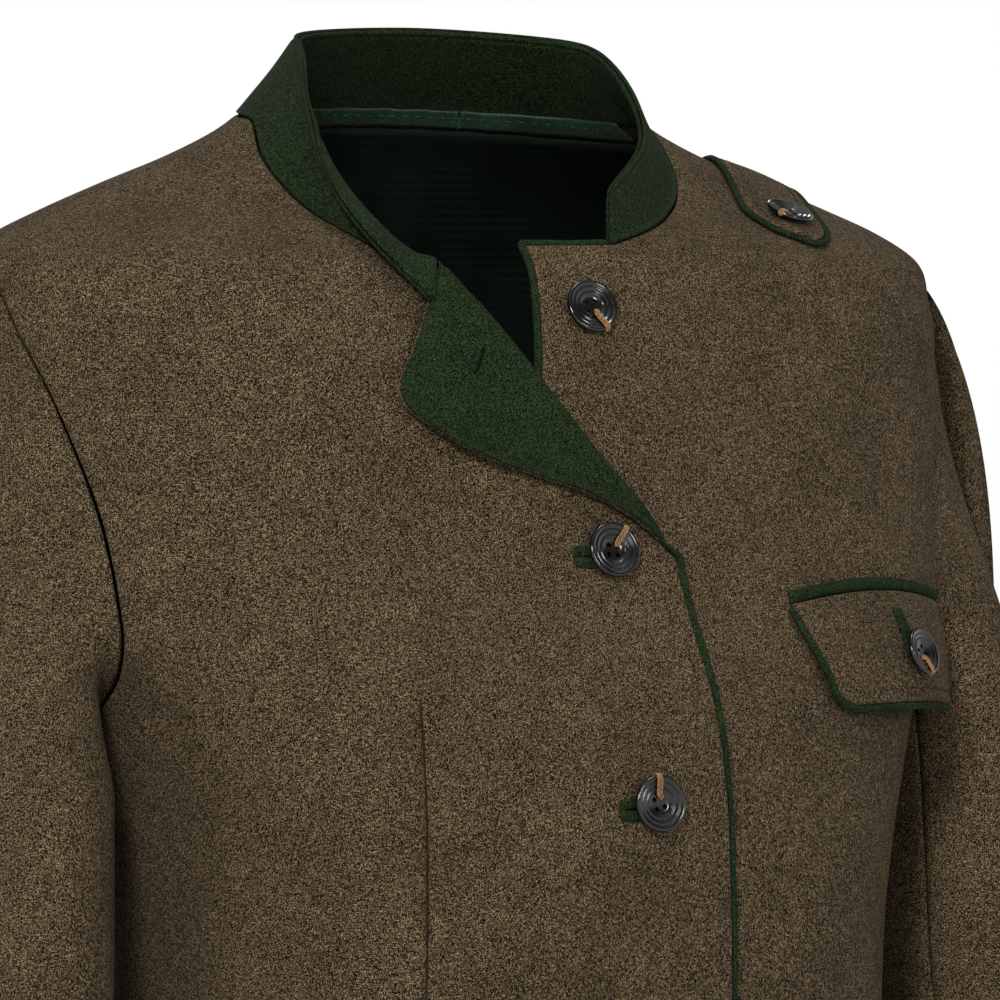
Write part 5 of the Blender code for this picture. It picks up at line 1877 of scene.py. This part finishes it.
LODEN = wool(
    "loden_look",
    shades((0, 6, 4, 2), (0.3, 17, 13, 8), (0.5, 29, 23, 15), (0.7, 46, 38, 25), (1, 138, 119, 90)),
    sizes=(1.6, 0.28), spread=0.105, mottle=0.14, sheen=0.01, bump_depth=0.6,
)
GREEN_FELT = wool(
    "green_felt_look",
    shades((0, 4, 9, 4), (0.35, 8, 16, 7), (0.6, 13, 24, 11), (1, 54, 70, 42)),
    sizes=(1.5, 0.27), spread=0.105, mottle=0.1, sheen=0.01, bump_depth=0.5,
)
SATIN_TAPE = satin_material()
DARK_LINING = lining_material()
HORN = horn_material()
# The tan thread's pale and near-black plies are partly painted light: pale highlights and dark shade
# between the strands.
THREAD = thread_material("tan_thread_look", srgb(22, 12, 6), srgb(178, 136, 94), 0.03)
GREEN_THREAD = thread_material("green_thread_look", srgb(3, 6, 3), srgb(8, 14, 7), 0)
BROWN_THREAD = thread_material("brown_thread_look", srgb(22, 17, 11), srgb(44, 35, 24), 0)
TAPE_THREAD = thread_material("tape_thread_look", srgb(24, 52, 33), srgb(56, 92, 62), 0.02)


# ---------------------------------------------------------------- stage

def floor():
    """A plain pale floor below the hem."""
    bpy.ops.mesh.primitive_circle_add(
        vertices=96, radius=FLOOR_RADIUS * MM, fill_type="NGON", location=(0, 0, FLOOR_Z * MM)
    )
    made = bpy.context.object
    made.name = "floor"
    material, tree, shader, coordinates = start_material("floor_look", {"Roughness": 0.9})
    stops = shades((0, 203, 203, 201), (1, 211, 211, 209))
    colour = ramp(tree, noise_at(tree, coordinates, 400), NOISE_LOW, NOISE_HIGH, stops)
    paint(tree, shader, colour)
    made.data.materials.append(material)


def area_light(name, place, power, size):
    data = bpy.data.lights.new(name, "AREA")
    data.energy = power
    data.shape = "DISK"
    data.size = size * MM
    made = placed(name, data)
    made.location = Vector(place) * MM
    made.rotation_euler = (Vector(AIM) * MM - made.location).to_track_quat("-Z", "Y").to_euler()


def studio():
    world = bpy.data.worlds.new("pale_studio")
    world.use_nodes = True
    tree = world.node_tree
    background = tree.nodes["Background"]
    background.inputs["Strength"].default_value = WORLD_STRENGTH
    direction = add(tree, "ShaderNodeTexCoord").outputs["Generated"]
    rise = add(tree, "ShaderNodeSeparateXYZ", inputs={"Vector": direction}).outputs["Z"]
    tree.links.new(ramp(tree, rise, -1, 1, WORLD_STOPS), background.inputs["Color"])
    bpy.context.scene.world = world
    bpy.context.scene.view_settings.view_transform = "Standard"
    bpy.context.scene.view_settings.exposure = EXPOSURE
    for row in LIGHTS:
        area_light(*row)
    floor()


def camera():
    """The camera at the photograph's angle."""
    turn, rise = math.radians(CAMERA_TURN), math.radians(CAMERA_RISE)
    away = Vector((math.sin(turn) * math.cos(rise), -math.cos(turn) * math.cos(rise), math.sin(rise)))
    data = bpy.data.cameras.new("camera")
    data.sensor_width = 36
    data.lens = CAMERA_LENS
    data.clip_start = 0.1
    data.clip_end = 50
    made = placed("camera", data)
    made.location = (Vector(AIM) + away * CAMERA_DISTANCE) * MM
    made.rotation_euler = (-away).to_track_quat("-Z", "Y").to_euler()
    bpy.context.scene.camera = made


# ---------------------------------------------------------------- the whole jacket

def declare(piece, nodes):
    """Hides the frame's parts that a cloth piece replaces."""
    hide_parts(*nodes)


def stand_for(piece, slot, *nodes):
    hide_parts(*nodes)
    return piece


def build():
    right_piping, left_piping = front_pipings()
    stand_for(right_piping, "green_felt", "front_right_piping")
    stand_for(left_piping, "green_felt", "front_left_piping")
    mesh = button_mesh()
    buttons, holes, thread_places = front_buttons(mesh)
    tab_button, flap_button, small_places = small_buttons(mesh)
    for node, piece in buttons.items():
        stand_for(piece, "horn", node)
    for node, piece in holes.items():
        stand_for(piece, "green_felt", node)
    stand_for(tab_button, "horn", "epaulette_button")
    stand_for(flap_button, "horn", "flap_button")
    button_threads("thread_buttons", thread_places + small_places)
    declare(front_right(), ["front_right"])
    declare(front_left(), ["front_left"])
    declare(back(1, "cloth_back_left"), ["back_left"])
    declare(back(-1, "cloth_back_right"), ["back_right"])
    for node, piece in sleeves().items():
        declare(piece, [node])
    outer, inner = collar()
    declare(outer, ["collar_outer"])
    declare(inner, ["collar_inner"])
    hole = stand_for(lapel_slit(), "green_felt", "lapel_buttonhole")
    declare(lapel_facing(), ["lapel_facing"])
    welt, flap, flap_piping = pocket()
    stand_for(flap_piping, "green_felt", "flap_piping")
    lips = lip_sheets(over_flap, SLIT_LENGTH * 0.45, SLIT_HEIGHT * 0.35)
    flap_hole = shell("felt_flap_buttonhole", lips, GREEN_FELT)
    stand_for(flap_hole, "green_felt", "flap_buttonhole")
    declare(welt, ["pocket_welt"])
    declare(flap, ["pocket_flap"])
    tab, tab_piping = epaulette()
    stand_for(tab_piping, "green_felt", "epaulette_piping")
    declare(tab, ["epaulette"])
    tape_left, tape_right, lining = inside_of_back()
    declare(tape_left, ["neck_tape_left"])
    declare(tape_right, ["neck_tape_right"])
    declare(lining, ["back_lining"])
    felt_stitches_and_slit_shade, loden_stitches_and_dart_shade, tape_stitches = stitching()


studio()
camera()
build()
